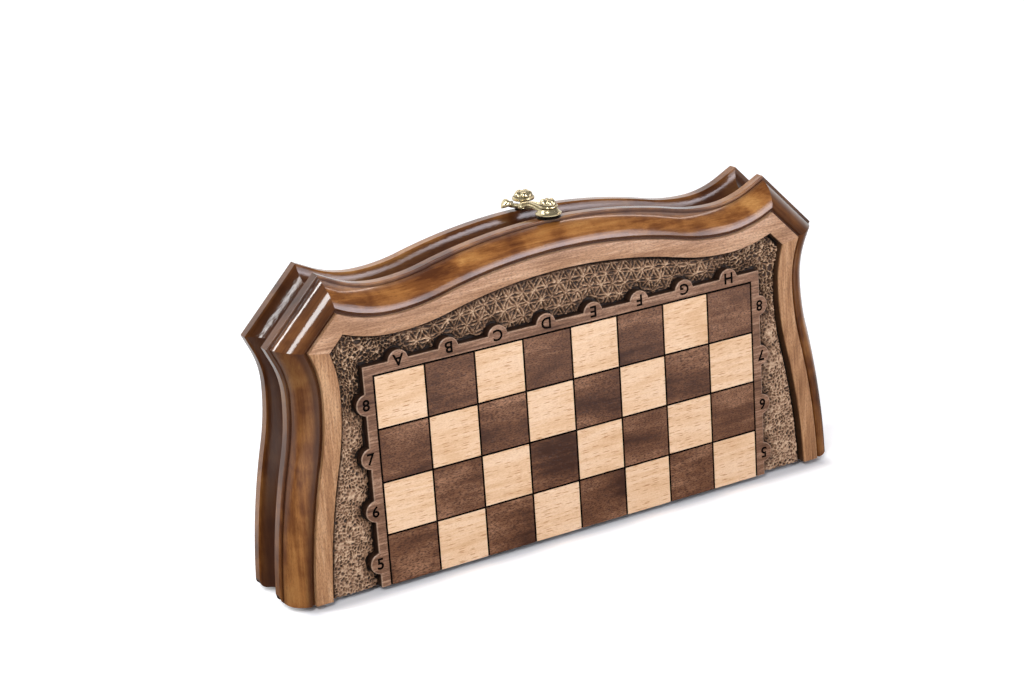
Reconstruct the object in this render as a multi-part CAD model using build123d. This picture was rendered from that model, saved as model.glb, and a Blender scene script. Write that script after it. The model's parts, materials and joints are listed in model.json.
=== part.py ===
from build123d import *

import math
import os

# Folding carved chess case, standing closed on its hinge edge. Millimetres.
# +X runs along the top rail, +Z is up, and the front half is the one towards -Y.
# The origin is the middle of the case's footprint, at the bottom of the hinge knuckles.

# Playing squares
square = 25.0
files = 8
ranks_per_half = 4
engraved_line = 1.0
square_thickness = 1.2

# Raised board with its round lettered tabs
board_border = 4.9
tab_radius = 5.0
tab_offset = 4.3
tab_sides = 12
board_rise = 4.8

# Carved panel with its flat outer band
panel_thickness = 6.8
band_width = 8.1
panel_fit = 0.1

# Outline of the band's outer edge, measured out from the grid of squares
foot_reach = 37.0
flank_reach = 28.1
flank_drop = 35.5
waist_reach = 24.4
waist_drop = 4.5
corner_reach = 29.0
corner_rise = 16.5
shoulder_reach = 14.3
shoulder_rise = 31.5
valley_inset = 12.5
valley_rise = 25.2
crown_rise = 36.3
swell_share = 0.286

# Section of the frame moulding, outwards from the band and back from the face
half_depth = 24.5
seam_clearance = 0.1
shadow_groove = 1.2
ovolo_lip = 0.6
ovolo_reach = 11.0
ovolo_depth = 10.3
ovolo_bulge = 1.9
step_depth = 0.7
flat_reach = 12.6
flat_width = 4.8
ledge_width = 6.0
foot_cut = 3.2
curve_facets = 2

# Bottom rail inside each half
rail_height = 8.0
rail_fit = 0.1

# Butt hinges under the bottom rails
hinge_spread = 140.0
hinge_length = 30.0
knuckle_radius = 1.5
knuckle_gap = 0.3
knuckle_count = 3
knuckle_relief = 0.3
leaf_thickness = 1.0
leaf_width = 15.0
leaf_clearance = 0.1
hinge_pin_radius = 0.6
hinge_pin_clearance = 0.05
hinge_screws = 2
hinge_screw_spacing = 18.0
hinge_screw_inset = 9.0
screw_head_radius = 1.8
screw_shank_radius = 0.9
screw_length = 7.0
screw_clearance = 0.05
screw_sides = 6
knuckle_sides = 12

# Hook latch across the seam, on the crown of the top rail
latch_pin_radius = 1.5
latch_pin_depth = 8.0
latch_pin_clearance = 0.08
washer_radius = 5.6
washer_height = 1.5
catch_washer_radius = 4.3
catch_washer_height = 1.2
hook_clearance = 0.12
hook_thickness = 2.3
eye_radius = 6.0
eye_rim = 0.8
eye_height = 3.0
pivot_head_radius = 4.6
pivot_head_height = 4.0
catch_neck_radius = 1.8
catch_neck_height = 4.6
catch_head_radius = 5.3
catch_head_height = 3.7
hook_gap = 0.7
hook_width = 3.1
hook_throat_angle = 235.0
bill_angle = 100.0
arm_width = 4.2
scroll_width = 3.4
scroll_start = 0.8
scroll_reach = 4.6
scroll_distance = 16.2
finger_radius = 2.4
finger_rise = 0.5
finger_reach = 7.0
finger_angle = 180.0
latch_swing = 7.0
rosette_sides = 12
finger_sides = 8

# Slotted tray for the chessmen in each half, of strips on a base board
tray_floor = 1.2
tray_wall = 4.0
tray_fit = 0.2
tray_side_gap = 1.0
tray_head_gap = 1.2
slot_clearance = 0.3

# Chessmen, turned forms in flat facets
coronet_lip = 1.0
crest_lip = 1.2
cross_arm = 1.6
crenel_width = 2.2
mitre_cut = 0.9
turned_sides = 6
king_base = 15.6
king_height = 46.0
queen_height = 42.0
bishop_height = 37.0
knight_height = 33.0
knight_thickness = 5.2
rook_height = 29.0
officer_base = 15.0
pawn_base = 13.8
pawn_height = 27.0

# Places that follow from the sizes above
hinge_axis_z = knuckle_radius
wood_bottom = hinge_axis_z + leaf_clearance + leaf_thickness
grid_half = files * square / 2
grid_top = hinge_axis_z + ranks_per_half * square
seam_depth = half_depth - seam_clearance
crown_top = grid_top + crown_rise + flat_reach
flat_start = ovolo_depth + step_depth
latch_y = half_depth - flat_start - flat_width / 2
tray_bottom = wood_bottom + rail_height + tray_fit
tray_front = panel_thickness + tray_fit
tray_back = seam_depth - tray_fit
tray_top = grid_top + valley_rise - ledge_width - tray_head_gap
tray_half_width = grid_half + waist_reach - ledge_width - tray_side_gap
slot_pitch = 2 * (tray_half_width - tray_wall) / files
pawn_slot = pawn_height + slot_clearance
officer_slot = king_height + slot_clearance
trough_height = (tray_top - tray_bottom - 3 * tray_wall - pawn_slot - officer_slot) / 2
pawn_seat = tray_bottom + tray_wall
officer_seat = pawn_seat + pawn_slot + trough_height + tray_wall

# A half is drawn lying on its back: x across, y up the case, z out of the playing face.
# This plane stands it up as the front half.
front_stand = Plane(origin=(0, -half_depth, 0), x_dir=(1, 0, 0), z_dir=(0, -1, 0))


def leaving_direction(start, end, arriving):
    """Direction in which the arc that arrives at end in the given direction leaves start."""
    chord = (end - start).normalized()
    return chord * (2 * chord.dot(arriving)) - arriving


def left_side_arcs():
    """Band edge up the left side: swelling flank, then the waist, then the flare to the corner."""
    foot = Vector(-grid_half - foot_reach, wood_bottom)
    flank = Vector(-grid_half - flank_reach, grid_top - flank_drop)
    waist = Vector(-grid_half - waist_reach, grid_top - waist_drop)
    corner = Vector(-grid_half - corner_reach, grid_top + corner_rise)
    up = Vector(0, 1)
    at_flank = leaving_direction(flank, waist, up)
    at_foot = leaving_direction(foot, flank, at_flank)
    return [
        TangentArc(foot, flank, tangent=at_foot),
        TangentArc(flank, waist, tangent=at_flank),
        TangentArc(waist, corner, tangent=up),
    ]


def top_left_arcs():
    """Band edge from the shoulder, through the valley and the swell, to the crown."""
    shoulder = Vector(-grid_half - shoulder_reach, grid_top + shoulder_rise)
    valley = Vector(-grid_half + valley_inset, grid_top + valley_rise)
    crown = Vector(0, grid_top + crown_rise)
    swell = valley + (crown - valley) * swell_share
    along = Vector(1, 0)
    return [
        TangentArc(shoulder, valley, tangent=leaving_direction(shoulder, valley, along)),
        TangentArc(valley, swell, tangent=along),
        TangentArc(swell, crown, tangent=leaving_direction(swell, crown, along)),
    ]


def mirrored_back(arcs):
    """The same arcs on the right-hand side, in the order that goes on from left to right."""
    right = []
    for arc in reversed(arcs):
        start, end = arc @ 1, arc @ 0
        leaving = arc % 1
        right.append(
            TangentArc(
                Vector(-start.X, start.Y), Vector(-end.X, end.Y), tangent=Vector(leaving.X, -leaving.Y)
            )
        )
    return right


def outline_face(inset, below):
    """The area inside the band's outer edge, shrunk by inset and run on below the foot."""
    side, top = left_side_arcs(), top_left_arcs()
    foot = side[0] @ 0
    sunk = foot - (side[0] % 0) * (below + inset)
    edges = [
        Line(sunk, foot),
        *side,
        Line(side[-1] @ 1, top[0] @ 0),
        *top,
        *mirrored_back(top),
        Line(Vector(-(top[0] @ 0).X, (top[0] @ 0).Y), Vector(-(side[-1] @ 1).X, (side[-1] @ 1).Y)),
        *mirrored_back(side),
        Line(Vector(-foot.X, foot.Y), Vector(-sunk.X, sunk.Y)),
        Line(Vector(-sunk.X, sunk.Y), sunk),
    ]
    face = make_face(Wire(edges))
    if inset == 0:
        return face
    return offset(face, amount=-inset, kind=Kind.INTERSECTION)


def outline_slab(inset, depth_from, depth_to):
    """A slab of the inset outline between two depths, cut level with the bottom of the wood."""
    slab = extrude(Pos(0, 0, -depth_to) * outline_face(inset, ledge_width), depth_to - depth_from)
    return split(slab, bisect_by=Plane((0, wood_bottom, 0), z_dir=(0, 1, 0)), keep=Keep.TOP)


def faceted_arc(start, bulge_mid, end):
    """The inner points of an arc through three points, cut into curve_facets equal flats."""
    arc = ThreePointArc(start, bulge_mid, end)
    return [arc @ (i / curve_facets) for i in range(1, curve_facets)]


def moulding_section():
    """Section of the frame: ledge and rabbet, ovolo, step, flat band and cove down to the seam."""
    cove_start = flat_start + flat_width
    cove_radius = seam_depth - cove_start
    cove_centre = Vector(flat_reach, -seam_depth)
    cove_lip = Vector(flat_reach, -cove_start)
    cove_mid = cove_centre + Vector(-1, 1).normalized() * cove_radius
    cove_end = Vector(flat_reach - cove_radius, -seam_depth)
    ovolo_top = Vector(shadow_groove, -ovolo_lip)
    ovolo_foot = Vector(ovolo_reach, -ovolo_depth)
    chord = ovolo_foot - ovolo_top
    bulge = Vector(-chord.Y, chord.X).normalized() * ovolo_bulge
    corners = [
        Vector(-ledge_width, -seam_depth),
        Vector(-ledge_width, -panel_thickness),
        Vector(shadow_groove, -panel_thickness),
        ovolo_top,
        *faceted_arc(ovolo_top, (ovolo_top + ovolo_foot) * 0.5 + bulge, ovolo_foot),
        ovolo_foot,
        Vector(ovolo_reach, -flat_start),
        Vector(flat_reach, -flat_start),
        cove_lip,
        *faceted_arc(cove_lip, cove_mid, cove_end),
        cove_end,
    ]
    return make_face(Polyline(*corners, close=True))


def section_at(point, tangent):
    """The moulding section, square to the path at a point, with its face towards +z."""
    outward = Vector(-tangent.Y, tangent.X)
    return Plane(origin=point, x_dir=outward, z_dir=tangent) * moulding_section()


def turned_span(arc):
    """The moulding along one arc, turned about the arc's own centre."""
    start, end = arc % 0, arc % 1
    sense = 1 if start.cross(end).Z > 0 else -1
    axis = Axis(arc.arc_center, (0, 0, sense))
    return revolve(section_at(arc @ 0, start), axis=axis, revolution_arc=start.get_angle(end))


def moulding(arcs, lead):
    """The moulding along tangent arcs, with straight ends left long for the cuts."""
    first, last = arcs[0], arcs[-1]
    spans = [turned_span(arc) for arc in arcs]
    lead_in = extrude(section_at(first @ 0, first % 0), -lead)
    lead_out = extrude(section_at(last @ 1, last % 1), lead)
    return Part() + lead_in + spans + lead_out


def mitre_plane(corner, arriving, leaving):
    """The plane of a mitre, facing along the path."""
    return Plane(corner, z_dir=(arriving + leaving).normalized())


def corner_run():
    """Start, end and direction of the straight chamfer at the upper left."""
    start, end = left_side_arcs()[-1] @ 1, top_left_arcs()[0] @ 0
    return start, end, (end - start).normalized()


def left_stile():
    """Curved side of the frame, from its rounded foot to the mitre under the corner block."""
    arcs = left_side_arcs()
    corner, _, along = corner_run()
    lead = flat_reach + ledge_width
    stile = moulding(arcs, lead)
    stile = split(stile, bisect_by=mitre_plane(corner, arcs[-1] % 1, along), keep=Keep.BOTTOM)
    stile = split(stile, bisect_by=Plane((0, wood_bottom, 0), z_dir=(0, 1, 0)), keep=Keep.TOP)
    rise = arcs[0] % 0
    outward = Vector(-rise.Y, rise.X)
    toe = (arcs[0] @ 0) + outward * flat_reach
    edge = Vector(toe.X - rise.X / rise.Y * (toe.Y - wood_bottom), wood_bottom)
    across = Plane(edge + rise * foot_cut, z_dir=(Vector(1, 0) + rise).normalized())
    return split(stile, bisect_by=across, keep=Keep.TOP)


def left_corner_block():
    """Short straight length of moulding across the chamfer, mitred at both ends."""
    start, end, along = corner_run()
    lead = flat_reach + ledge_width
    block = extrude(section_at(start - along * lead, along), (end - start).length + 2 * lead)
    arriving, leaving = left_side_arcs()[-1] % 1, top_left_arcs()[0] % 0
    block = split(block, bisect_by=mitre_plane(start, arriving, along), keep=Keep.TOP)
    return split(block, bisect_by=mitre_plane(end, along, leaving), keep=Keep.BOTTOM)


def latch_hole():
    """Hole down into the crown of the top rail for a latch pin."""
    radius = latch_pin_radius + latch_pin_clearance
    bore = turned([(radius, -latch_pin_depth), (radius, latch_pin_depth)], rosette_sides)
    return Pos(0, crown_top, -half_depth + latch_y) * (Rot(90, 0, 0) * bore)


def top_rail():
    """Crowned top rail, mitred into both corner blocks, with the latch pin's hole."""
    arcs = top_left_arcs()
    _, shoulder, along = corner_run()
    lead = flat_reach + ledge_width
    rail = moulding(arcs + mirrored_back(arcs), lead)
    left = mitre_plane(shoulder, along, arcs[0] % 0)
    rail = split(rail, bisect_by=left, keep=Keep.TOP)
    right = Plane(
        Vector(-left.origin.X, left.origin.Y), z_dir=Vector(-left.z_dir.X, left.z_dir.Y)
    )
    rail = split(rail, bisect_by=right, keep=Keep.TOP)
    return rail - latch_hole()


def hinge_places():
    """X of the middle of each hinge."""
    return {"left": -hinge_spread / 2, "right": hinge_spread / 2}


def screw_places(hinge_x):
    """X of each screw in one hinge leaf."""
    first = hinge_x - hinge_screw_spacing * (hinge_screws - 1) / 2
    return [first + hinge_screw_spacing * i for i in range(hinge_screws)]


def bottom_rail():
    """Straight rail along the hinge edge, fitted between the stiles, with the hinge's reliefs."""
    rail = outline_slab(ledge_width + rail_fit, panel_thickness, seam_depth)
    top = Plane((0, wood_bottom + rail_height, 0), z_dir=(0, 1, 0))
    rail = split(rail, bisect_by=top, keep=Keep.BOTTOM)
    groove = Rot(0, 90, 0) * Cylinder(
        knuckle_radius + knuckle_relief, hinge_length + 2 * knuckle_relief
    )
    for hinge_x in hinge_places().values():
        rail -= Pos(hinge_x, hinge_axis_z, -half_depth) * groove
        for x in screw_places(hinge_x):
            seat = Pos(x, wood_bottom - leaf_thickness, -half_depth + hinge_screw_inset)
            rail -= seat * (Rot(-90, 0, 0) * screw_body(screw_clearance))
    return rail


def carved_panel():
    """Panel with its raised flat band, and the field sunk inside the band for the carving."""
    panel = outline_slab(panel_fit, 0, panel_thickness)
    return panel - outline_slab(band_width, -board_rise, board_rise)


def board_outline():
    """Outline of the raised board: a border round the grid and a round tab at each file and rank."""
    width = 2 * (grid_half + board_border)
    height = grid_top + board_border - wood_bottom
    outline = Pos(0, wood_bottom + height / 2) * Rectangle(width, height)
    tab = RegularPolygon(tab_radius, tab_sides, rotation=180 / tab_sides)
    for i in range(files):
        outline += Pos(square * (i + 0.5) - grid_half, grid_top + tab_offset) * tab
    for i in range(ranks_per_half):
        for side in (-1, 1):
            outline += Pos(side * (grid_half + tab_offset), grid_top - square * (i + 0.5)) * tab
    return outline


def playing_board():
    """Raised board on the field's floor, recessed to take the inlaid squares."""
    board = extrude(Pos(0, 0, -board_rise) * board_outline(), board_rise)
    recess_top = grid_top + engraved_line / 2
    recess = Box(
        2 * grid_half + engraved_line,
        2 * (recess_top - wood_bottom),
        2 * square_thickness,
    )
    return board - Pos(0, wood_bottom, 0) * recess


def inlaid_squares(dark, rank_at_top):
    """The squares of one colour on one half, each short of its cell by the engraved line."""
    tiles = []
    for row in range(ranks_per_half):
        rank = rank_at_top - row if rank_at_top > ranks_per_half else rank_at_top + row
        top = grid_top - square * row - engraved_line / 2
        bottom = max(grid_top - square * (row + 1) + engraved_line / 2, wood_bottom)
        for column in range(files):
            if ((column + rank) % 2 == 1) != dark:
                continue
            x = square * (column + 0.5) - grid_half
            tile = Box(square - engraved_line, top - bottom, square_thickness)
            tiles.append(Pos(x, (top + bottom) / 2, -square_thickness / 2) * tile)
    return Compound(tiles)


def slot_places():
    """X of each of the eight slots in a row."""
    return [slot_pitch * (i - (files - 1) / 2) for i in range(files)]


def tray_block(left, right, bottom, top):
    """Block of the tray standing on its base board, between two x and two heights."""
    front, back = tray_front + tray_floor, tray_back
    block = Box(right - left, top - bottom, back - front)
    return Pos((left + right) / 2, (bottom + top) / 2, -(front + back) / 2) * block


def tray_base():
    """Thin base board of the tray, behind the panel."""
    board = Box(2 * tray_half_width, tray_top - tray_bottom, tray_floor)
    middle = Pos(0, (tray_bottom + tray_top) / 2, -tray_front - tray_floor / 2)
    return middle * board


def tray_rows():
    """Seat height, slot length and slot width of the pawns' row and the officers' row."""
    return (
        (pawn_seat, pawn_slot, pawn_base + 2 * slot_clearance),
        (officer_seat, officer_slot, king_base + 2 * slot_clearance),
    )


def tray_strips():
    """Strips on the base board: walls, rails under each row, and the blocks between the slots."""
    inner = tray_half_width - tray_wall
    strips = [
        tray_block(-tray_half_width, -inner, tray_bottom, tray_top),
        tray_block(inner, tray_half_width, tray_bottom, tray_top),
        tray_block(-inner, inner, tray_top - tray_wall, tray_top),
    ]
    for seat, length, width in tray_rows():
        strips.append(tray_block(-inner, inner, seat - tray_wall, seat))
        lefts = [-inner] + [x + width / 2 for x in slot_places()]
        rights = [x - width / 2 for x in slot_places()] + [inner]
        for left, right in zip(lefts, rights):
            strips.append(tray_block(left, right, seat, seat + length))
    return Compound(strips)


def stood_up(half, rear):
    """A half drawn on its back, stood up as the front half, or mirrored across the seam."""
    front = front_stand * half
    return mirror(front, about=Plane.XZ) if rear else front


def knuckle_spans(rear):
    """Start and length of each knuckle on one leaf. The rear leaf holds the outer ones."""
    length = (hinge_length - knuckle_gap * (knuckle_count - 1)) / knuckle_count
    spans = []
    for i in range(knuckle_count):
        if (i % 2 == 0) == rear:
            spans.append((-hinge_length / 2 + i * (length + knuckle_gap), length))
    return spans


def hinge_leaf(rear):
    """Leaf under the bottom rail, rolled into its knuckles round the pin, with countersinks."""
    plate_top = wood_bottom
    clear = knuckle_radius + knuckle_gap
    middle_z = plate_top - leaf_thickness / 2
    leaf = Pos(0, (leaf_width + clear) / 2, middle_z) * Box(
        hinge_length, leaf_width - clear, leaf_thickness
    )
    along_x = Rot(0, 90, 0)
    for start, length in knuckle_spans(rear):
        middle = start + length / 2
        leaf += Pos(middle, clear / 2, middle_z) * Box(length, clear, leaf_thickness)
        barrel = extrude(RegularPolygon(knuckle_radius, knuckle_sides), length / 2, both=True)
        leaf += Pos(middle, 0, hinge_axis_z) * (along_x * barrel)
    bore = Cylinder(hinge_pin_radius + hinge_pin_clearance, 2 * hinge_length)
    leaf -= Pos(0, 0, hinge_axis_z) * (along_x * bore)
    for x in screw_places(0):
        leaf -= Pos(x, hinge_screw_inset, plate_top - leaf_thickness) * screw_body(screw_clearance)
    return leaf if rear else mirror(leaf, about=Plane.XZ)


def screw_body(clearance):
    """Countersunk wood screw with its head's face at z = 0, pointing up, or the hole for it."""
    head, shank = screw_head_radius + clearance, screw_shank_radius + clearance
    neck = screw_head_radius - screw_shank_radius
    return turned([(head, 0), (shank, neck), (shank, screw_length + clearance)], screw_sides)


def hinge_screw_group(rear):
    """All the screws in the leaves of one half."""
    side = 1 if rear else -1
    seat = wood_bottom - leaf_thickness
    screws = []
    for hinge_x in hinge_places().values():
        for x in screw_places(hinge_x):
            screws.append(Pos(x, side * hinge_screw_inset, seat) * screw_body(0))
    return Compound(screws)


def hinge_pin():
    """Plain pin through all the knuckles."""
    return Pos(0, 0, hinge_axis_z) * (Rot(0, 90, 0) * Cylinder(hinge_pin_radius, hinge_length))


def turned(rings, sides):
    """Turned form in flat facets, from the radius and height of each ring of its section."""
    turns = [2 * math.pi * (i + 0.5) / sides for i in range(sides)]
    loops = [[Vector(r * math.cos(t), r * math.sin(t), z) for t in turns] for r, z in rings]
    walls = []
    for low, high in zip(loops, loops[1:]):
        for i in range(sides):
            k = (i + 1) % sides
            walls.append(Face(Wire.make_polygon([low[i], low[k], high[k], high[i]])))
    ends = [Face(Wire.make_polygon(loop)) for loop in (loops[0], loops[-1])]
    return Solid(Shell(walls + ends))


def latch_pivot_screw():
    """Rosette-headed screw that the hook turns on, driven into the front half's crown."""
    under_head = washer_height + hook_clearance * 2 + eye_height
    head = turned(
        [
            (pivot_head_radius, under_head),
            (pivot_head_radius, under_head + pivot_head_height / 3),
            (pivot_head_radius / 2, under_head + pivot_head_height),
        ],
        rosette_sides,
    )
    length = latch_pin_depth + under_head
    shank = Pos(0, 0, length / 2 - latch_pin_depth) * Cylinder(latch_pin_radius, length)
    return Pos(0, -latch_y, crown_top) * (shank + head)


def seat_ring(radius, height, place_y):
    """Dark ring on the crown, round the shank of a latch pin."""
    ring = turned([(radius, 0), (radius, height)], rosette_sides)
    bore = Cylinder(latch_pin_radius + latch_pin_clearance, 4 * height)
    return Pos(0, place_y, crown_top) * (Part() + ring - bore)


def latch_catch_pin():
    """Rosette-headed pin on the rear half that the hook's bill closes round."""
    head_top = catch_neck_height + catch_head_height
    pin = turned(
        [
            (latch_pin_radius, -latch_pin_depth),
            (latch_pin_radius, catch_washer_height),
            (catch_neck_radius, catch_washer_height),
            (catch_neck_radius, catch_neck_height),
            (catch_head_radius, catch_neck_height),
            (catch_head_radius, catch_neck_height + catch_head_height / 3),
            (catch_head_radius / 2, head_top),
        ],
        rosette_sides,
    )
    return Pos(0, latch_y, crown_top) * pin


def polar(centre, radius, angle):
    """Point at a distance and an angle in degrees from a centre."""
    turn = math.radians(angle)
    return centre + Vector(math.cos(turn), math.sin(turn)) * radius


def strut(start, end, width):
    """Flat bar between two points, round at its far end."""
    run, middle = end - start, (start + end) / 2
    bar = Rot(0, 0, math.degrees(math.atan2(run.Y, run.X))) * Rectangle(run.length, width)
    return Pos(middle.X, middle.Y) * bar + Pos(end.X, end.Y) * Circle(width / 2)


def latch_hook():
    """Flat hook: conical eye, arm, scroll, bill round the catch neck and leaf for the finger.

    It is drawn closed round the neck, then swung back by latch_swing, which is where it rests.
    """
    neck = Vector(0, 2 * latch_y)
    inner = catch_neck_radius + hook_gap
    outer = inner + hook_width
    middle = (inner + outer) / 2
    sector = make_face(
        Wire(
            [
                Line(polar(neck, inner, hook_throat_angle), polar(neck, outer, hook_throat_angle)),
                ThreePointArc(
                    polar(neck, outer, hook_throat_angle),
                    polar(neck, outer, (hook_throat_angle + bill_angle) / 2),
                    polar(neck, outer, bill_angle),
                ),
                Line(polar(neck, outer, bill_angle), polar(neck, inner, bill_angle)),
                ThreePointArc(
                    polar(neck, inner, bill_angle),
                    polar(neck, inner, (hook_throat_angle + bill_angle) / 2),
                    polar(neck, inner, hook_throat_angle),
                ),
            ]
        )
    )
    throat = polar(neck, middle, hook_throat_angle)
    scroll_tip = Vector(-scroll_reach, scroll_distance)
    finger = polar(neck, finger_reach, finger_angle)
    bill_tip = polar(neck, middle, bill_angle)
    plan = sector + Pos(bill_tip.X, bill_tip.Y) * Circle(hook_width / 2)
    plan += strut(Vector(0, 0), throat, arm_width)
    plan += strut(throat * scroll_start, scroll_tip, scroll_width)
    plan += strut(polar(neck, middle, finger_angle), finger, 2 * finger_radius)
    hook = extrude(plan, hook_thickness)
    eye = [(eye_radius, 0), (eye_radius, eye_rim), (pivot_head_radius, eye_height)]
    hook += turned(eye, rosette_sides)
    knob = hook_thickness + finger_rise
    lift = turned([(finger_radius, 0), (finger_radius, knob)], finger_sides)
    hook += Pos(finger.X, finger.Y, 0) * lift
    hook -= Cylinder(latch_pin_radius + latch_pin_clearance, 4 * eye_height)
    hook_bottom = crown_top + washer_height + hook_clearance
    return Pos(0, -latch_y, hook_bottom) * (Rot(0, 0, latch_swing) * hook)


def pawn():
    """Pawn: base, waist, collar and round head."""
    base, tall = pawn_base / 2, pawn_height
    return turned(
        [
            (base, 0),
            (base, 0.1 * tall),
            (0.34 * base, 0.54 * tall),
            (0.64 * base, 0.64 * tall),
            (0.6 * base, 0.86 * tall),
            (0.26 * base, tall),
        ],
        turned_sides,
    )


def officer_stem(base, tall, collar):
    """Rings that the officers share: base, waist and the collar under the head."""
    return [
        (base, 0),
        (base, 0.07 * tall),
        (0.36 * base, collar - 3.0),
        (0.68 * base, collar - 0.6),
        (0.4 * base, collar + 0.8),
    ]


def rook():
    """Rook: a straight tower with a crenel cut across it each way."""
    tall = rook_height
    base = officer_base / 2
    tower = turned(
        [
            (base, 0),
            (base, 0.09 * tall),
            (0.5 * base, 0.3 * tall),
            (0.44 * base, 0.68 * tall),
            (0.74 * base, 0.76 * tall),
            (0.74 * base, tall),
        ],
        turned_sides,
    )
    tower = Part() + tower
    for turn in (0, 90):
        tower -= Rot(0, 0, turn) * (Pos(0, 0, tall) * Box(4 * base, crenel_width, 2 * crenel_width))
    return tower


def bishop():
    """Bishop: pointed mitre head with its slanting cut."""
    tall, collar = bishop_height, 0.62 * bishop_height
    base = officer_base / 2
    swell = collar + 0.15 * tall
    rings = officer_stem(base, tall, collar) + [(0.58 * base, swell), (0.14 * base, tall)]
    cut = Pos(base / 2, 0, swell + 0.11 * tall) * (Rot(0, -35, 0) * Box(base, 2 * base, mitre_cut))
    return Part() + turned(rings, turned_sides) - cut


def queen():
    """Queen: flared coronet and a small ball."""
    tall, collar = queen_height, 0.66 * queen_height
    base = officer_base / 2
    crown = 0.93 * tall
    coronet = [(0.72 * base, crown - coronet_lip), (0.5 * base, crown), (0.22 * base, crown)]
    return turned(officer_stem(base, tall, collar) + coronet + [(0.12 * base, tall)], turned_sides)


def king():
    """King: tallest piece, with a plain cross on its crown."""
    tall, collar, arm = king_height, 0.62 * king_height, cross_arm
    base = king_base / 2
    crown = 0.86 * tall
    crest = [(0.62 * base, crown - crest_lip), (0.34 * base, crown)]
    body = Part() + turned(officer_stem(base, tall, collar) + crest, turned_sides)
    upright = Pos(0, 0, (crown + tall) / 2) * Box(arm, arm, tall - crown)
    across = Pos(0, 0, (crown + tall) / 2) * Box(3 * arm, arm, arm)
    return body + upright + across


def knight():
    """Knight: a horse's head sawn from the flat, on a turned base."""
    tall, base = knight_height, officer_base / 2
    neck = 0.23 * tall
    rings = [(base, 0), (base, 0.08 * tall), (0.6 * base, 0.18 * tall), (0.72 * base, neck)]
    foot = Part() + turned(rings, turned_sides)
    profile = (
        (-0.61, 0.22),
        (-0.75, 0.52),
        (-0.48, 0.83),
        (-0.08, 1.0),
        (0.19, 0.9),
        (0.91, 0.71),
        (0.67, 0.61),
        (0.16, 0.65),
        (0.64, 0.22),
    )
    head = Polyline(*[(x * base, z * tall) for x, z in profile], close=True)
    sawn = extrude(Plane.XZ * make_face(head), knight_thickness / 2, both=True)
    return foot + sawn


def laid_in_slot(piece, column, seat, base):
    """A piece lying in its slot, base down and axis along y, its base on the slot's floor."""
    depth = tray_front + tray_floor + slot_clearance + base / 2
    upright = Rot(-90, 0, 0) * piece
    return Pos(slot_places()[column], seat, -depth) * upright


def chessmen():
    """The sixteen men of one colour, named by piece and lying in a half's tray."""
    first_rank = ["rook", "knight", "bishop", "queen", "king", "bishop", "knight", "rook"]
    makers = {"rook": rook, "knight": knight, "bishop": bishop, "queen": queen, "king": king}
    men = {}
    for column, name in enumerate(first_rank):
        paired = first_rank.count(name) > 1
        side = "queenside_" if column < files / 2 else "kingside_"
        base = king_base if name == "king" else officer_base
        node = (side if paired else "") + name
        men[node] = laid_in_slot(makers[name](), column, officer_seat, base)
    row = [laid_in_slot(pawn(), column, pawn_seat, pawn_base) for column in range(files)]
    men["pawns"] = Compound(row)
    return men


def half_nodes():
    """Every wooden piece of one half, drawn on its back and not yet stood up."""
    stile, block = left_stile(), left_corner_block()
    return {
        "top_rail": top_rail(),
        "left_corner_block": block,
        "right_corner_block": mirror(block, about=Plane.YZ),
        "left_stile": stile,
        "right_stile": mirror(stile, about=Plane.YZ),
        "bottom_rail": bottom_rail(),
        "carved_panel": carved_panel(),
        "playing_board": playing_board(),
        "tray_base": tray_base(),
        "tray_strips": tray_strips(),
    }


def all_nodes():
    """Every node of the case by name, in its place."""
    nodes = {}
    for name, shape in half_nodes().items():
        nodes["front_" + name] = stood_up(shape, rear=False)
        nodes["rear_" + name] = stood_up(shape, rear=True)
    for half, rear, rank_at_top in (("front_", False, 2 * ranks_per_half), ("rear_", True, 1)):
        for colour, dark in (("light", False), ("dark", True)):
            tiles = inlaid_squares(dark, rank_at_top)
            nodes[half + colour + "_squares"] = stood_up(tiles, rear)
        nodes[half + "hinge_screws"] = hinge_screw_group(rear)
    for side, hinge_x in hinge_places().items():
        nodes[side + "_hinge_rear_leaf"] = Pos(hinge_x, 0, 0) * hinge_leaf(rear=True)
        nodes[side + "_hinge_front_leaf"] = Pos(hinge_x, 0, 0) * hinge_leaf(rear=False)
        nodes[side + "_hinge_pin"] = Pos(hinge_x, 0, 0) * hinge_pin()
    nodes["latch_pivot_screw"] = latch_pivot_screw()
    nodes["latch_washer"] = seat_ring(washer_radius, washer_height, -latch_y)
    nodes["latch_catch_washer"] = seat_ring(catch_washer_radius, catch_washer_height, latch_y)
    nodes["latch_hook"] = latch_hook()
    nodes["latch_catch_pin"] = latch_catch_pin()
    for name, man in chessmen().items():
        nodes["dark_" + name] = stood_up(man, rear=False)
        nodes["light_" + name] = stood_up(man, rear=True)
    return nodes


os.makedirs("parts", exist_ok=True)
for node_name, node_shape in all_nodes().items():
    export_step(node_shape, f"parts/{node_name}.step")
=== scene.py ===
"""Looks of a folding carved chess case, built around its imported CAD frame.

Shapes are worked out in millimetres in the CAD's own frame and become metres when a mesh is
written. The case stands on its hinge edge: X runs along the top rail, Z is up, and a depth is
measured from the front playing face back towards the seam between the two halves.
"""

import json
import logging
import math
from dataclasses import dataclass, field, replace
from enum import Enum
from functools import reduce

import bpy
import numpy as np
from mathutils import Matrix, Vector

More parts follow.
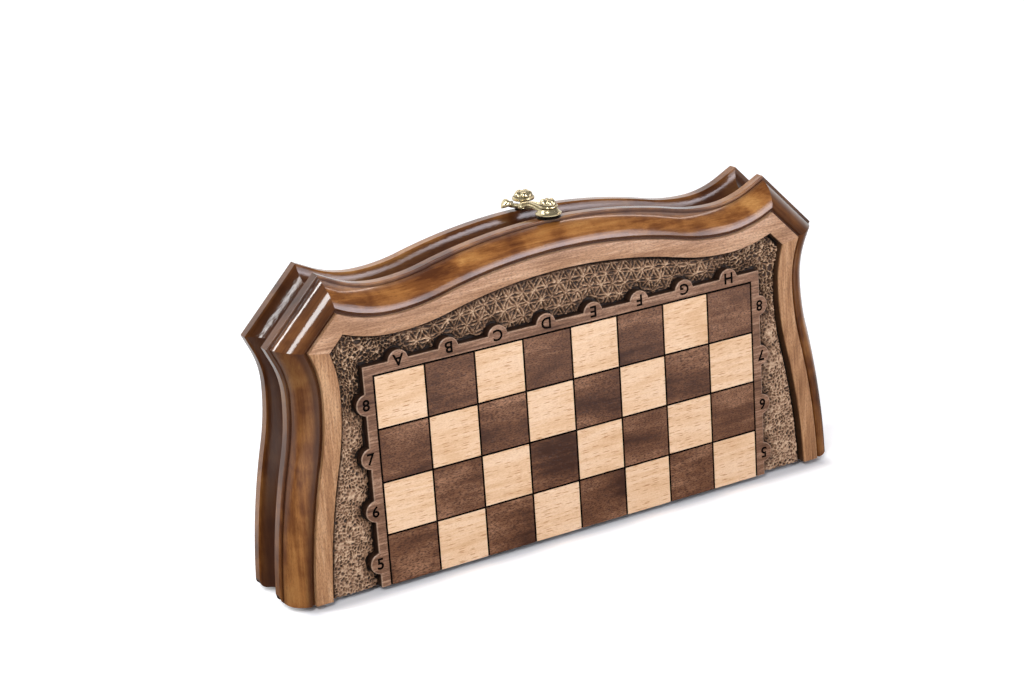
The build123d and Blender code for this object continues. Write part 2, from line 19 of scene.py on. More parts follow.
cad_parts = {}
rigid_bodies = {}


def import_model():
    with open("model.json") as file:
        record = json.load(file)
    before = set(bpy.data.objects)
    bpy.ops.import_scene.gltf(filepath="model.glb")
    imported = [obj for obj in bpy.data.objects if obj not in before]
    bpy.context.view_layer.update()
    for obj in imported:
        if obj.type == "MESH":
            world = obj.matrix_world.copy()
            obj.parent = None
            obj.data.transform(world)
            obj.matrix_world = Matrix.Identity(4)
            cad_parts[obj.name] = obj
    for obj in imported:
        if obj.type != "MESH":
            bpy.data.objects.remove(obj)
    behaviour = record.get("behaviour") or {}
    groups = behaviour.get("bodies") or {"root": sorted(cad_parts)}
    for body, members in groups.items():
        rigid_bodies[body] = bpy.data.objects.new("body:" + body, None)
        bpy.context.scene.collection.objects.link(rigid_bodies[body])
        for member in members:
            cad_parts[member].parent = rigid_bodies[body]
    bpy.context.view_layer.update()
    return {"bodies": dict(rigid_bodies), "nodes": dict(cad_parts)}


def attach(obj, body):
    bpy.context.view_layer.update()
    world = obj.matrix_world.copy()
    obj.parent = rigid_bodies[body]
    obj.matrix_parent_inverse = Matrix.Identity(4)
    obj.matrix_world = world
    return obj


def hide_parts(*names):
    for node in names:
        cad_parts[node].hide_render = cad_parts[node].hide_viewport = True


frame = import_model()

log = logging.getLogger("chess_case")

MM = 0.001
SHARP_ANGLE = math.radians(34.0)
HALF_DEPTH = 24.5
HINGE_AXIS = 1.5
STRAIGHT = 1e-9
FAR = 1e9
FLIP = np.array([-1.0, 1.0])

Array = np.ndarray
Socket = bpy.types.NodeSocket
Point = tuple[float, float]
Place = tuple[float, float, float]
Rgb = tuple[float, float, float]
Rgba = tuple[float, float, float, float]
Stops = tuple[tuple[float, Rgb], ...]


class Half(Enum):
    """The two halves of the case, with the body and the colour of men that each carries."""

    FRONT = ("front", "front_case", "dark")
    REAR = ("rear", "rear_case", "light")

    @property
    def prefix(self) -> str:
        """First word of the names of this half's pieces."""
        return self.value[0]

    @property
    def body(self) -> str:
        """CAD body that this half's pieces ride on."""
        return self.value[1]

    @property
    def men(self) -> str:
        """Colour of the chessmen that lie in this half."""
        return self.value[2]


class Grain(Enum):
    """Direction that the fibres of a wooden piece run in, as a turn about Y from the X axis."""

    ALONG_X = 0.0
    UP_Z = 90.0
    LEFT_CHAMFER = 45.6
    RIGHT_CHAMFER = -45.6


# Surfaces


@dataclass
class Surface:
    """Mesh data held as whole arrays until it goes into Blender."""

    points: Array
    quads: Array
    caps: list[list[int]] = field(default_factory=list)
    layers: dict[str, Array] = field(default_factory=dict)

    @classmethod
    def rings(cls, points: Array, closed: bool = False, **layers: Array) -> "Surface":
        """Joins rings of points to one another by four-sided faces.

        Args:
            points: places in millimetres, as (rings, points in each, 3).
            closed: joins the last ring to the first. Otherwise a cap closes each of the two.
            **layers: a number for each point, as (rings, points in each).

        Returns:
            The closed surface, facing outwards.
        """
        rows, columns = points.shape[:2]
        index = np.arange(rows * columns).reshape(rows, columns)
        tall = np.vstack([index, index[:1]]) if closed else index
        wide = np.hstack([tall, tall[:, :1]])
        quads = np.stack([wide[:-1, :-1], wide[:-1, 1:], wide[1:, 1:], wide[1:, :-1]], axis=-1)
        caps = [] if closed else [index[0, ::-1].tolist(), index[-1].tolist()]
        flat = {name: values.reshape(-1) for name, values in layers.items()}
        return cls(points.reshape(-1, 3), quads.reshape(-1, 4), caps, flat).facing_out()

    def turned_over(self) -> "Surface":
        """The surface with every face turned over."""
        return replace(self, quads=self.quads[:, ::-1], caps=[cap[::-1] for cap in self.caps])

    def facing_out(self) -> "Surface":
        """The surface, turned over if the volume that its faces enclose comes out negative.

        The volume is the sum of a . (b x c) over triangles with corners a, b and c.

        Returns:
            The surface with its faces outwards.
        """
        corners = self.points[self.quads]
        triangles = [corners[:, [0, 1, 2]], corners[:, [0, 2, 3]]]
        for cap in self.caps:
            loop = self.points[cap]
            hub = np.broadcast_to(loop[0], (len(loop) - 2, 3))
            triangles.append(np.stack([hub, loop[1:-1], loop[2:]], axis=1))
        a, b, c = np.vstack(triangles).transpose(1, 0, 2)
        return self if (a * np.cross(b, c)).sum() >= 0 else self.turned_over()

    def mirrored(self, axis: int) -> "Surface":
        """The surface reflected across the plane where the coordinate of an axis is 0."""
        points = self.points.copy()
        points[:, axis] *= -1
        return replace(self, points=points).turned_over()

    def moved(self, matrix: Matrix) -> "Surface":
        """The surface carried by a rigid movement given in millimetres."""
        table = np.array(matrix)
        return replace(self, points=self.points @ table[:3, :3].T + table[:3, 3])

    def on_half(self, half: Half) -> "Surface":
        """The surface as drawn for the front half, or reflected across the seam for the rear."""
        return self if half is Half.FRONT else self.mirrored(1)


def set_down(name: str, data: bpy.types.ID | None) -> bpy.types.Object:
    """Makes an object of a mesh, lamp, camera or curve, or an empty one, in the scene."""
    made = bpy.data.objects.new(name, data)
    bpy.context.scene.collection.objects.link(made)
    return made


def joined(parts: list[Surface]) -> Surface:
    """Puts surfaces into one mesh as separate shells.

    Args:
        parts: the surfaces. A layer that one of them lacks is 0 there.

    Returns:
        One surface with all their points, faces and layers.
    """
    starts = np.cumsum([0] + [len(part.points) for part in parts])
    names = sorted({name for part in parts for name in part.layers})
    quads = np.vstack([part.quads + start for part, start in zip(parts, starts)])
    caps = [[i + int(start) for i in cap] for part, start in zip(parts, starts) for cap in part.caps]
    layers = {
        name: np.hstack([part.layers.get(name, np.zeros(len(part.points))) for part in parts])
        for name in names
    }
    return Surface(np.vstack([part.points for part in parts]), quads, caps, layers)


def full_turn(count: int) -> Array:
    """Directions in radians evenly round an axis, as one row."""
    return np.linspace(0, 2 * math.pi, count, endpoint=False)[None, :]


def revolved(
    radii: Array,
    heights: Array,
    sides: int,
    swell: Array | float = 0.0,
    lift: Array | float = 0.0,
    ring: bool = False,
) -> Surface:
    """Turns a section about the Z axis: (r cos a, r sin a, h) for every ring and direction.

    Args:
        radii: radius of each ring of the section, in millimetres.
        heights: height of each ring.
        sides: points in each ring.
        swell: added to the radius, as (rings, sides).
        lift: added to the height in the same way.
        ring: the section is a closed loop, so nothing needs a cap.

    Returns:
        A closed surface.
    """
    radius, height, turn = np.broadcast_arrays(
        radii[:, None] + swell, heights[:, None] + lift, full_turn(sides)
    )
    points = np.stack([radius * np.cos(turn), radius * np.sin(turn), height], axis=-1)
    return Surface.rings(points, closed=ring)


def block(low: Place, high: Place) -> Surface:
    """Closed box between two corners, as a square ring carried from the low to the high Z."""
    x = np.array([low[0], high[0], high[0], low[0]])
    y = np.array([low[1], low[1], high[1], high[1]])
    return Surface.rings(np.stack([np.stack([x, y, np.full(4, z)], -1) for z in (low[2], high[2])]))


def rounded_line(corners: list[Point], radius: float, steps: int) -> Array:
    """Rounds the corners of a polyline with quadratic curves.

    Each inner corner is replaced by the curve (1-t)^2 A + 2t(1-t) B + t^2 C between a point A
    before it, the corner B and a point C after it, both a radius away or a third of the run.

    Args:
        corners: the polyline's points.
        radius: distance from a corner at which its curve starts.
        steps: points on each curve.

    Returns:
        The rounded polyline, as (count, 2).
    """
    points = np.array(corners, float)
    t = np.linspace(0, 1, steps)[:, None]
    rounded = [points[:1]]
    for before, corner, after in zip(points, points[1:], points[2:]):
        runs = [before - corner, after - corner]
        sizes = [np.linalg.norm(run) for run in runs]
        ends = [corner + run * min(radius / size, 0.34) for run, size in zip(runs, sizes)]
        rounded.append((1 - t) ** 2 * ends[0] + 2 * t * (1 - t) * corner + t**2 * ends[1])
    return np.vstack(rounded + [points[-1:]])


def smooth_line(knots: list[tuple[float, ...]], per_span: int) -> Array:
    """Carries a curve through knots by the Catmull-Rom formula.

    Between two knots the point is half of (2B + (C-A)t + (2A-5B+4C-D)t^2 + (3B-A-3C+D)t^3).

    Args:
        knots: the points to pass through.
        per_span: points from one knot to the next.

    Returns:
        The curve's points, as (count, dimensions).
    """
    table = np.array(knots, float)
    ends = [2 * table[:1] - table[1:2], table, 2 * table[-1:] - table[-2:-1]]
    full = np.vstack(ends)[:, None, :]
    t = np.linspace(0, 1, per_span, endpoint=False)[None, :, None]
    a, b, c, d = full[:-3], full[1:-2], full[2:-1], full[3:]
    curve = 2 * b + (c - a) * t + (2 * a - 5 * b + 4 * c - d) * t**2
    curve = (curve + (3 * b - a - 3 * c + d) * t**3) / 2
    return np.vstack([curve.reshape(-1, table.shape[1]), table[-1:]])


def smoothstep(low: float, high: float, value: Array) -> Array:
    """Eased step from 0 at low to 1 at high."""
    t = np.clip((value - low) / (high - low), 0, 1)
    return t * t * (3 - 2 * t)


def bell(distance: Array, width: float) -> Array:
    """Bell curve: e to the power of minus the square of the distance over the width."""
    return np.exp(-((distance / width) ** 2))


def scattered(column: Array, row: Array, salt: float) -> Array:
    """Fixed number from 0 to 1 for each whole cell: the fraction of a large sine of its place."""
    wave = np.sin(column * 127.1 + row * 311.7 + salt * 74.7) * 43758.5453
    return wave - np.floor(wave)


def wandering(x: Array, z: Array, size: float, salt: float) -> Array:
    """Smooth noise from -1 to 1: cell numbers blended between the corners of each cell.

    Args:
        x: first coordinate in millimetres.
        z: height in millimetres.
        size: side of a cell.
        salt: picks another pattern.

    Returns:
        The noise at each place.
    """
    column, row = np.floor(x / size), np.floor(z / size)
    u, v = smoothstep(0, 1, x / size - column), smoothstep(0, 1, z / size - row)
    low = scattered(column, row, salt) * (1 - u) + scattered(column + 1, row, salt) * u
    high = scattered(column, row + 1, salt) * (1 - u) + scattered(column + 1, row + 1, salt) * u
    return 2 * (low * (1 - v) + high * v) - 1


def cell_edges(x: Array, z: Array, size: float, salt: float) -> Array:
    """Distance to the border of irregular cells: how much further the second-nearest seed is.

    Args:
        x: first coordinate in millimetres.
        z: second coordinate.
        size: distance between the cells' seeds.
        salt: picks another arrangement of seeds.

    Returns:
        The difference of the two nearest seeds' distances, in millimetres.
    """
    column, row = np.floor(x / size), np.floor(z / size)
    nearest = second = np.full(x.shape, FAR)
    for step_x in (-1, 0, 1):
        for step_z in (-1, 0, 1):
            c, r = column + step_x, row + step_z
            seed_x = (c + scattered(c, r, salt)) * size
            seed_z = (r + scattered(c, r, salt + 5)) * size
            gap = np.hypot(x - seed_x, z - seed_z)
            second = np.minimum(second, np.maximum(nearest, gap))
            nearest = np.minimum(nearest, gap)
    return second - nearest


# Outline of the case


@dataclass(frozen=True)
class Stretch:
    """A circular or straight stretch of a path in the plane of the playing face."""

    start: Point
    heading: float
    curvature: float
    length: float


def tangent_arc(start: Point, end: Point, heading: float) -> Stretch:
    """The arc that leaves its start in a heading and reaches its end.

    The chord turns away from the heading by d, so the curvature is 2 sin(d) over the chord's
    length, and the arc's length is 2d over the curvature.

    Args:
        start: where it leaves.
        end: where it arrives.
        heading: its heading at the start, in radians.

    Returns:
        The arc, or a straight stretch.
    """
    chord = (end[0] - start[0], end[1] - start[1])
    bend = math.remainder(math.atan2(chord[1], chord[0]) - heading, 2 * math.pi)
    size = math.hypot(*chord)
    if abs(bend) < STRAIGHT:
        return Stretch(start, heading, 0.0, size)
    curvature = 2 * math.sin(bend) / size
    return Stretch(start, heading, curvature, 2 * bend / curvature)


def leaving_heading(start: Point, end: Point, arriving: float) -> float:
    """Heading at the start of the arc that arrives at its end in a heading."""
    return 2 * math.atan2(end[1] - start[1], end[0] - start[0]) - arriving


class Path:
    """Stretches end to end, carried on straight beyond both ends."""

    def __init__(self, stretches: list[Stretch]) -> None:
        """Keeps the stretches and the distance at which each starts.

        Args:
            stretches: each starts where the one before it ends.
        """
        self.starts = np.cumsum([0.0] + [stretch.length for stretch in stretches])
        self.origins = np.array([stretch.start for stretch in stretches])
        self.headings = np.array([stretch.heading for stretch in stretches])
        self.curvatures = np.array([stretch.curvature for stretch in stretches])

    @property
    def length(self) -> float:
        """Length of all the stretches."""
        return float(self.starts[-1])

    def at(self, along: Array) -> tuple[Array, Array, Array]:
        """Follows the path: on an arc the point is (sin h - sin h0, cos h0 - cos h) / curvature.

        Args:
            along: distances from the path's start.

        Returns:
            Points with a last axis of 2, headings in radians, and curvatures.
        """
        inside = np.clip(along, 0, self.length)
        beyond = along - inside
        order = np.clip(
            np.searchsorted(self.starts, inside, side="right") - 1, 0, len(self.headings) - 1
        )
        run = inside - self.starts[order]
        first, curvature = self.headings[order], self.curvatures[order]
        heading = first + curvature * run
        straight = np.abs(curvature) < STRAIGHT
        divisor = np.where(straight, 1.0, curvature)
        x = np.where(straight, run * np.cos(first), (np.sin(heading) - np.sin(first)) / divisor)
        z = np.where(straight, run * np.sin(first), (np.cos(first) - np.cos(heading)) / divisor)
        x, z = x + beyond * np.cos(heading), z + beyond * np.sin(heading)
        points = self.origins[order] + np.stack([x, z], axis=-1)
        return points, heading, np.where(beyond != 0, 0.0, curvature)

    def offset(self, along: Array, outward: Array) -> Array:
        """Points a distance to the left of the path, which is outwards from the case."""
        points, heading, _ = self.at(along)
        return points + outward[..., None] * np.stack([-np.sin(heading), np.cos(heading)], axis=-1)


@dataclass(frozen=True)
class Cut:
    """A sawn end: a line through a point, facing along the path, with an outer edge rounded off."""

    point: Point
    facing: Point
    rounded: float = 0.0
    edge: float = 0.0
    newton_steps: int = 12

    def meet(self, path: Path, outward: Array, guess: float) -> Array:
        """Finds where offset lines meet the cut, by Newton's steps: s less miss over slope.

        Args:
            path: the line that is cut.
            outward: how far outside the path each offset line runs.
            guess: distance along the path to start from.

        Returns:
            Distance along the path for each offset line.
        """
        into_round = np.clip(outward - self.edge + self.rounded, 0, self.rounded)
        rise = self.rounded - np.sqrt(self.rounded**2 - into_round**2)
        facing = np.array(self.facing)
        along = np.full(outward.shape, guess)
        for _ in range(self.newton_steps):
            _, heading, curvature = path.at(along)
            miss = (path.offset(along, outward) - np.array(self.point)) @ facing - rise
            towards = np.cos(heading) * facing[0] + np.sin(heading) * facing[1]
            along = along - miss / (towards * (1 - curvature * outward))
        return along


@dataclass(frozen=True)
class Run:
    """A path between two cuts."""

    path: Path
    start: Cut
    end: Cut

    def meet(self, outward: Array) -> tuple[Array, Array]:
        """Distances along the path at which each offset line meets the first and the last cut."""
        first = self.start.meet(self.path, outward, 0.0)
        return first, self.end.meet(self.path, outward, self.path.length)


@dataclass(frozen=True)
class Outline:
    """Serpentine outline of the flat band's outer edge, as driving sizes in millimetres."""

    square: float = 25.0
    files: int = 8
    ranks: int = 4
    wood_bottom: float = 2.6
    foot_reach: float = 37.0
    flank_reach: float = 28.1
    flank_drop: float = 35.5
    waist_reach: float = 24.4
    waist_drop: float = 4.5
    corner_reach: float = 29.0
    corner_rise: float = 16.5
    shoulder_reach: float = 14.3
    shoulder_rise: float = 31.5
    valley_inset: float = 12.5
    valley_rise: float = 25.2
    crown_rise: float = 36.3
    swell_share: float = 0.286

    @property
    def grid_half(self) -> float:
        """Half the width of the grid of squares."""
        return self.files * self.square / 2

    @property
    def grid_top(self) -> float:
        """Height of the top of the grid of squares."""
        return HINGE_AXIS + self.ranks * self.square

    @property
    def corner(self) -> Point:
        """Lower end of the left chamfer."""
        return (-self.grid_half - self.corner_reach, self.grid_top + self.corner_rise)

    @property
    def shoulder(self) -> Point:
        """Upper end of the left chamfer."""
        return (-self.grid_half - self.shoulder_reach, self.grid_top + self.shoulder_rise)

    def stile(self) -> Path:
        """Left side, from the foot through the swelling flank and the waist to the corner.

        Returns:
            The path, with outwards to its left.
        """
        foot = (-self.grid_half - self.foot_reach, self.wood_bottom)
        flank = (-self.grid_half - self.flank_reach, self.grid_top - self.flank_drop)
        waist = (-self.grid_half - self.waist_reach, self.grid_top - self.waist_drop)
        up = math.pi / 2
        at_flank = leaving_heading(flank, waist, up)
        return Path(
            [
                tangent_arc(foot, flank, leaving_heading(foot, flank, at_flank)),
                tangent_arc(flank, waist, at_flank),
                tangent_arc(waist, self.corner, up),
            ]
        )

    def chamfer(self) -> Path:
        """Straight run across the upper left corner."""
        rise = (self.shoulder[0] - self.corner[0], self.shoulder[1] - self.corner[1])
        return Path([Stretch(self.corner, math.atan2(rise[1], rise[0]), 0.0, math.hypot(*rise))])

    def top(self) -> Path:
        """Top edge from the left shoulder over the crown to the right shoulder.

        Returns:
            The path, with outwards to its left.
        """
        valley = (-self.grid_half + self.valley_inset, self.grid_top + self.valley_rise)
        crown = (0.0, self.grid_top + self.crown_rise)
        swell = (
            valley[0] * (1 - self.swell_share),
            valley[1] + (crown[1] - valley[1]) * self.swell_share,
        )
        left = [
            tangent_arc(self.shoulder, valley, leaving_heading(self.shoulder, valley, 0.0)),
            tangent_arc(valley, swell, 0.0),
            tangent_arc(swell, crown, leaving_heading(swell, crown, 0.0)),
        ]
        ends = [valley, swell, crown]
        right = []
        for stretch, end in zip(reversed(left), reversed(ends)):
            arriving = stretch.heading + stretch.curvature * stretch.length
            right.append(Stretch((-end[0], end[1]), -arriving, stretch.curvature, stretch.length))
        return Path(left + right)

    def runs(self, foot_round: float = 0.0, edge: float = 0.0) -> tuple[Run, Run, Run]:
        """The left stile, the left chamfer and the top edge, mitred where they meet.

        A mitre faces along the mean of the two headings at its corner.

        Args:
            foot_round: radius of the stile's rounded outer edge at the foot.
            edge: how far outside the outline that edge is.

        Returns:
            The three runs, from the foot to the right shoulder.
        """
        stile, chamfer, top = self.stile(), self.chamfer(), self.top()
        arriving = float(stile.at(np.array([stile.length]))[1][0])
        along = float(chamfer.headings[0])
        lower, upper = (arriving + along) / 2, (along + float(top.headings[0])) / 2
        foot = Cut((0.0, self.wood_bottom), (0.0, 1.0), foot_round, edge)
        corner = Cut(self.corner, (math.cos(lower), math.sin(lower)))
        left = Cut(self.shoulder, (math.cos(upper), math.sin(upper)))
        right = Cut((-self.shoulder[0], self.shoulder[1]), (math.cos(upper), -math.sin(upper)))
        return Run(stile, foot, corner), Run(chamfer, corner, left), Run(top, left, right)


@dataclass(frozen=True)
class Section:
    """Closed section of a swept length: offsets outwards, depths, and how much staining and painted
    shade each point has.
    """

    outward: Array
    depth: Array
    stain: Array


def swept(run: Run, section: Section, stations: int) -> Surface:
    """Carries a section along a path between two cuts.

    Each point of the section follows its own offset line from where it meets the first cut to
    where it meets the second, so that a mitre comes out flat and true.

    Args:
        run: the path and its cuts.
        section: the closed section.
        stations: rows from one cut to the other.

    Returns:
        A closed surface drawn for the front half, whose seam is at Y = 0.
    """
    first, last = run.meet(section.outward)
    along = first + (last - first) * np.linspace(0, 1, stations)[:, None]
    places = run.path.offset(along, np.broadcast_to(section.outward, along.shape))
    depth = np.broadcast_to(section.depth - HALF_DEPTH, along.shape)
    points = np.stack([places[..., 0], depth, places[..., 1]], axis=-1)
    return Surface.rings(points, stain=np.broadcast_to(section.stain, along.shape))


# Finishes


def linear(colour: Rgb) -> Rgba:
    """Linear colour of an sRGB colour given from 0 to 255."""
    values = np.array(colour) / 255
    curve = np.where(values <= 0.04045, values / 12.92, ((values + 0.055) / 1.055) ** 2.4)
    return (*curve.tolist(), 1.0)


class Shader:
    """Node tree of one finish, or of the world, under construction."""

    def __init__(self, name: str, world: bool = False) -> None:
        """Starts an empty material or world of that name."""
        self.made = (bpy.data.worlds if world else bpy.data.materials).new(name)
        self.made.use_nodes = True
        self.tree = self.made.node_tree
        self.tree.nodes.clear()
        self.output = self.add("OutputWorld" if world else "OutputMaterial")

    def add(self, kind: str, inputs: dict | None = None, **settings) -> bpy.types.Node:
        """Adds a node.

        Args:
            kind: the node's type after "ShaderNode".
            inputs: a value or another node's output socket for each input, by name or number.
            **settings: properties of the node itself.

        Returns:
            The node.
        """
        node = self.tree.nodes.new("ShaderNode" + kind)
        for name, value in settings.items():
            setattr(node, name, value)
        for name, value in (inputs or {}).items():
            socket = node.inputs[name]
            if isinstance(value, Socket):
                self.tree.links.new(value, socket)
            else:
                socket.default_value = value
        return node

    def close(self, last: bpy.types.Node) -> bpy.types.ID:
        """Links the last node to the output, and gives the finished material or world."""
        self.tree.links.new(last.outputs[0], self.output.inputs[0])
        return self.made

    def place(self, turn: float = 0.0) -> Socket:
        """Object coordinates in millimetres, turned about Y by degrees."""
        raw = self.add("TexCoord").outputs["Object"]
        turned = self.add("Mapping", {"Vector": raw, "Rotation": (0.0, math.radians(turn), 0.0)})
        return self.add("Mapping", {"Vector": turned.outputs[0], "Scale": (1 / MM,) * 3}).outputs[0]

    def layer(self, name: str) -> Socket:
        """Number kept at each point of the piece's mesh."""
        return self.add("Attribute", attribute_name=name).outputs["Fac"]

    def noise(self, place: Socket, scale: float, detail: float = 3.0, warp: float = 0.0) -> Socket:
        """Noise from 0 to 1 at a number of lumps per millimetre."""
        inputs = {"Vector": place, "Scale": scale, "Detail": detail, "Distortion": warp}
        return self.add("TexNoise", inputs).outputs[0]

    def grained(
        self, place: Socket, along: float, across: float, detail: float = 3.0, warp: float = 0.0
    ) -> Socket:
        """Noise with other numbers of lumps per millimetre along the grain and across it."""
        return self.noise(self.vector("MULTIPLY", place, (along, across, across)), 1.0, detail, warp)

    def sum(self, *terms: Socket | float) -> Socket:
        """Adds numbers."""
        return reduce(lambda total, term: self.calc("ADD", total, term), terms)

    def calc(self, operation: str, a: Socket | float, b: Socket | float = 0.0) -> Socket:
        """One step of arithmetic."""
        return self.add("Math", {0: a, 1: b}, operation=operation).outputs[0]

    def times(self, a: Socket, b: Socket | float) -> Socket:
        """Product of two numbers."""
        return self.calc("MULTIPLY", a, b)

    def swing(self, value: Socket, share: float) -> Socket:
        """How far a number is from a half, times a share."""
        return self.times(self.calc("SUBTRACT", value, 0.5), share)

    def vector(self, operation: str, a: Socket, b: Socket | Place = (0.0, 0.0, 0.0)) -> Socket:
        """One step of arithmetic on vectors."""
        return self.add("VectorMath", {0: a, 1: b}, operation=operation).outputs[0]

    def size(self, a: Socket) -> Socket:
        """Length of a vector."""
        return self.add("VectorMath", {0: a}, operation="LENGTH").outputs["Value"]

    def span(self, value: Socket, low: float, high: float, to: Point = (0.0, 1.0)) -> Socket:
        """Eased change from one value to another as the input goes from low to high."""
        inputs = {"Value": value, "From Min": low, "From Max": high, "To Min": to[0], "To Max": to[1]}
        return self.add("MapRange", inputs, interpolation_type="SMOOTHSTEP").outputs[0]

    def ramp(self, value: Socket, stops: Stops) -> Socket:
        """Colour from a list of (place, sRGB colour).

        Args:
            value: place on the ramp.
            stops: the colours, from low to high.

        Returns:
            The colour.
        """
        node = self.add("ValToRGB", {"Fac": value})
        elements = node.color_ramp.elements
        while len(elements) < len(stops):
            elements.new(0.5)
        for element, (position, colour) in zip(elements, stops):
            element.position = position
            element.color = linear(colour)
        return node.outputs["Color"]

    def blend(self, share: Socket, a: Socket | float, b: Socket | float) -> Socket:
        """Goes from one number to another by a share."""
        return self.add("Mix", {0: share, 2: a, 3: b}).outputs[0]

    def mix(self, share: Socket, a: Socket | Rgb, b: Socket | Rgb) -> Socket:
        """Mixes two colours, given as sockets or as sRGB values."""
        a, b = (linear(c) if isinstance(c, tuple) else c for c in (a, b))
        return self.add("Mix", {0: share, 6: a, 7: b}, data_type="RGBA").outputs[2]

    def bump(self, height: Socket, depth: float) -> Socket:
        """Normal disturbed by a height, where 1 stands for a depth in millimetres."""
        return self.add("Bump", {"Height": height, "Distance": depth * MM, "Strength": 1.0}).outputs[0]

    def finish(self, colour: Socket, **sockets: Socket | float) -> bpy.types.Material:
        """Closes the tree with the shader.

        Args:
            colour: the base colour.
            **sockets: the shader's inputs, with _ for a space in their names.

        Returns:
            The material.
        """
        named = {name.replace("_", " "): value for name, value in sockets.items()}
        return self.close(self.add("BsdfPrincipled", {"Base Color": colour, **named}))


@dataclass(frozen=True)
class Wood:
    """A wood finish: streaks and rings along the grain, short flecks, staining with painted shade, a
    painted edge highlight, and varnish.
    """

    name: str
    slot: str
    stops: Stops
    grain: Grain = Grain.ALONG_X
    ring: float = 5.0
    ring_share: float = 0.3
    streak_share: float = 0.4
    fleck: Rgb = (150, 105, 70)
    fleck_share: float = 0.5
    fleck_size: Point = (1.3, 0.16)
    stain: Rgb = (38, 20, 10)
    worn: Rgb = (212, 178, 152)
    cross_figure: float = 0.0
    mottle: float = 0.0
    roughness: float = 0.42
    coat: float = 0.0
    coat_roughness: float = 0.09
    orange_peel: float = 0.012
    specular: float = 0.22
    relief: float = 0.05
    grit: float = 0.35
    tile: float = 0.0
    tile_jump: float = 900.0

    def make(self) -> bpy.types.Material:
        """Builds the material.

        The place is turned so that the grain runs along X. Rings are noise lines across the
        grain, streaks are fine long noise, and each fleck is a thin ellipse round the seed of a
        long cell. A tile size gives every square of a board its own piece of veneer.

        Returns:
            The material.
        """
        s = Shader(self.name)
        place = s.place(self.grain.value)
        if self.tile:
            place = self.by_tile(s, place)
        wide = s.grained(place, 0.02, 0.05)
        streaks = s.grained(place, 0.06, 1.1, 5.0)
        tone = s.sum(
            s.times(wide, 1 - self.ring_share - self.streak_share),
            s.times(self.rings(s, place), self.ring_share),
            s.times(streaks, self.streak_share),
        )
        if self.cross_figure:
            tone = s.sum(tone, s.swing(s.grained(place, 0.05, 0.035, 3.0, 0.5), self.cross_figure))
        if self.mottle:
            tone = s.sum(tone, s.swing(s.grained(place, 0.28, 0.42, 4.0, 0.8), self.mottle))
        flecks = s.times(self.flecks(s, place), self.fleck_share)
        grit = s.span(s.grained(place, 0.9, 2.6), 0.42, 0.66, (0.0, self.grit))
        colour = s.ramp(tone, self.stops)
        # The stain layer mixes in glazing, scorching and painted shade, and the worn layer mixes in a
        # painted highlight.
        for share, over in (
            (flecks, self.fleck),
            (s.layer("stain"), self.stain),
            (s.layer("worn"), self.worn),
            (grit, self.fleck),
        ):
            colour = s.mix(share, colour, over)
        normal = s.bump(s.sum(streaks, s.times(flecks, -0.8)), self.relief)
        sockets = {"Roughness": self.roughness, "Specular_IOR_Level": self.specular, "Normal": normal}
        if self.coat:
            glazed = s.calc("POWER", s.layer("stain"), 2.0)
            pores = s.times(s.grained(place, 0.4, 1.2), s.sum(s.times(glazed, 3.2), 0.2))
            sockets.update(
                Coat_Weight=self.coat, Coat_Roughness=self.coat_roughness, Coat_IOR=1.5,
                Coat_Normal=s.bump(pores, self.orange_peel),
            )
        return s.finish(colour, **sockets)

    def by_tile(self, s: Shader, place: Socket) -> Socket:
        """Moves the pattern by a random amount on each tile of the board.

        Args:
            s: the material's nodes.
            place: place on the piece.

        Returns:
            The moved place.
        """
        cells = s.vector("ADD", place, (0.0, 0.0, -HINGE_AXIS))
        cells = s.vector("FLOOR", s.vector("DIVIDE", cells, (self.tile, 1.0, self.tile)))
        random = s.add("TexWhiteNoise", {"Vector": cells}, noise_dimensions="3D").outputs["Color"]
        return s.vector("ADD", place, s.vector("MULTIPLY", random, (self.tile_jump,) * 3))

    def rings(self, s: Shader, place: Socket) -> Socket:
        """Growth rings: a sine of the distance across the grain, shifted by slow noise.

        Args:
            s: the material's nodes.
            place: place on the piece.

        Returns:
            The rings, from 0 to 1.
        """
        axes = s.add("SeparateXYZ", {0: place}).outputs
        wander = s.times(s.grained(place, 0.006, 0.03, 2.0), 9 * self.ring)
        across = s.sum(axes["Z"], s.times(axes["Y"], 0.45), wander)
        wave = s.calc("SINE", s.times(across, 2 * math.pi / self.ring))
        return s.sum(s.times(wave, 0.5), 0.5)

    def flecks(self, s: Shader, place: Socket) -> Socket:
        """Short dashes along the grain: an ellipse at the seed of each long cell.

        Args:
            s: the material's nodes.
            place: place on the piece.

        Returns:
            1 on a fleck and 0 beside it.
        """
        length, width = self.fleck_size
        along, across = 0.42, 0.9
        cells = s.vector("MULTIPLY", place, (along / length, across, across))
        seeds = s.add("TexVoronoi", {"Vector": cells, "Scale": 1.0, "Randomness": 1.0}).outputs
        offset = s.vector("SUBTRACT", cells, seeds["Position"])
        shape = (1 / along, 1 / (across * 4 * width), 1 / (across * width))
        near = s.span(s.size(s.vector("MULTIPLY", offset, shape)), 1.1, 0.5)
        chance = s.add("SeparateColor", {0: seeds["Color"]}).outputs[0]
        return s.times(near, s.span(chance, 0.35, 0.7))


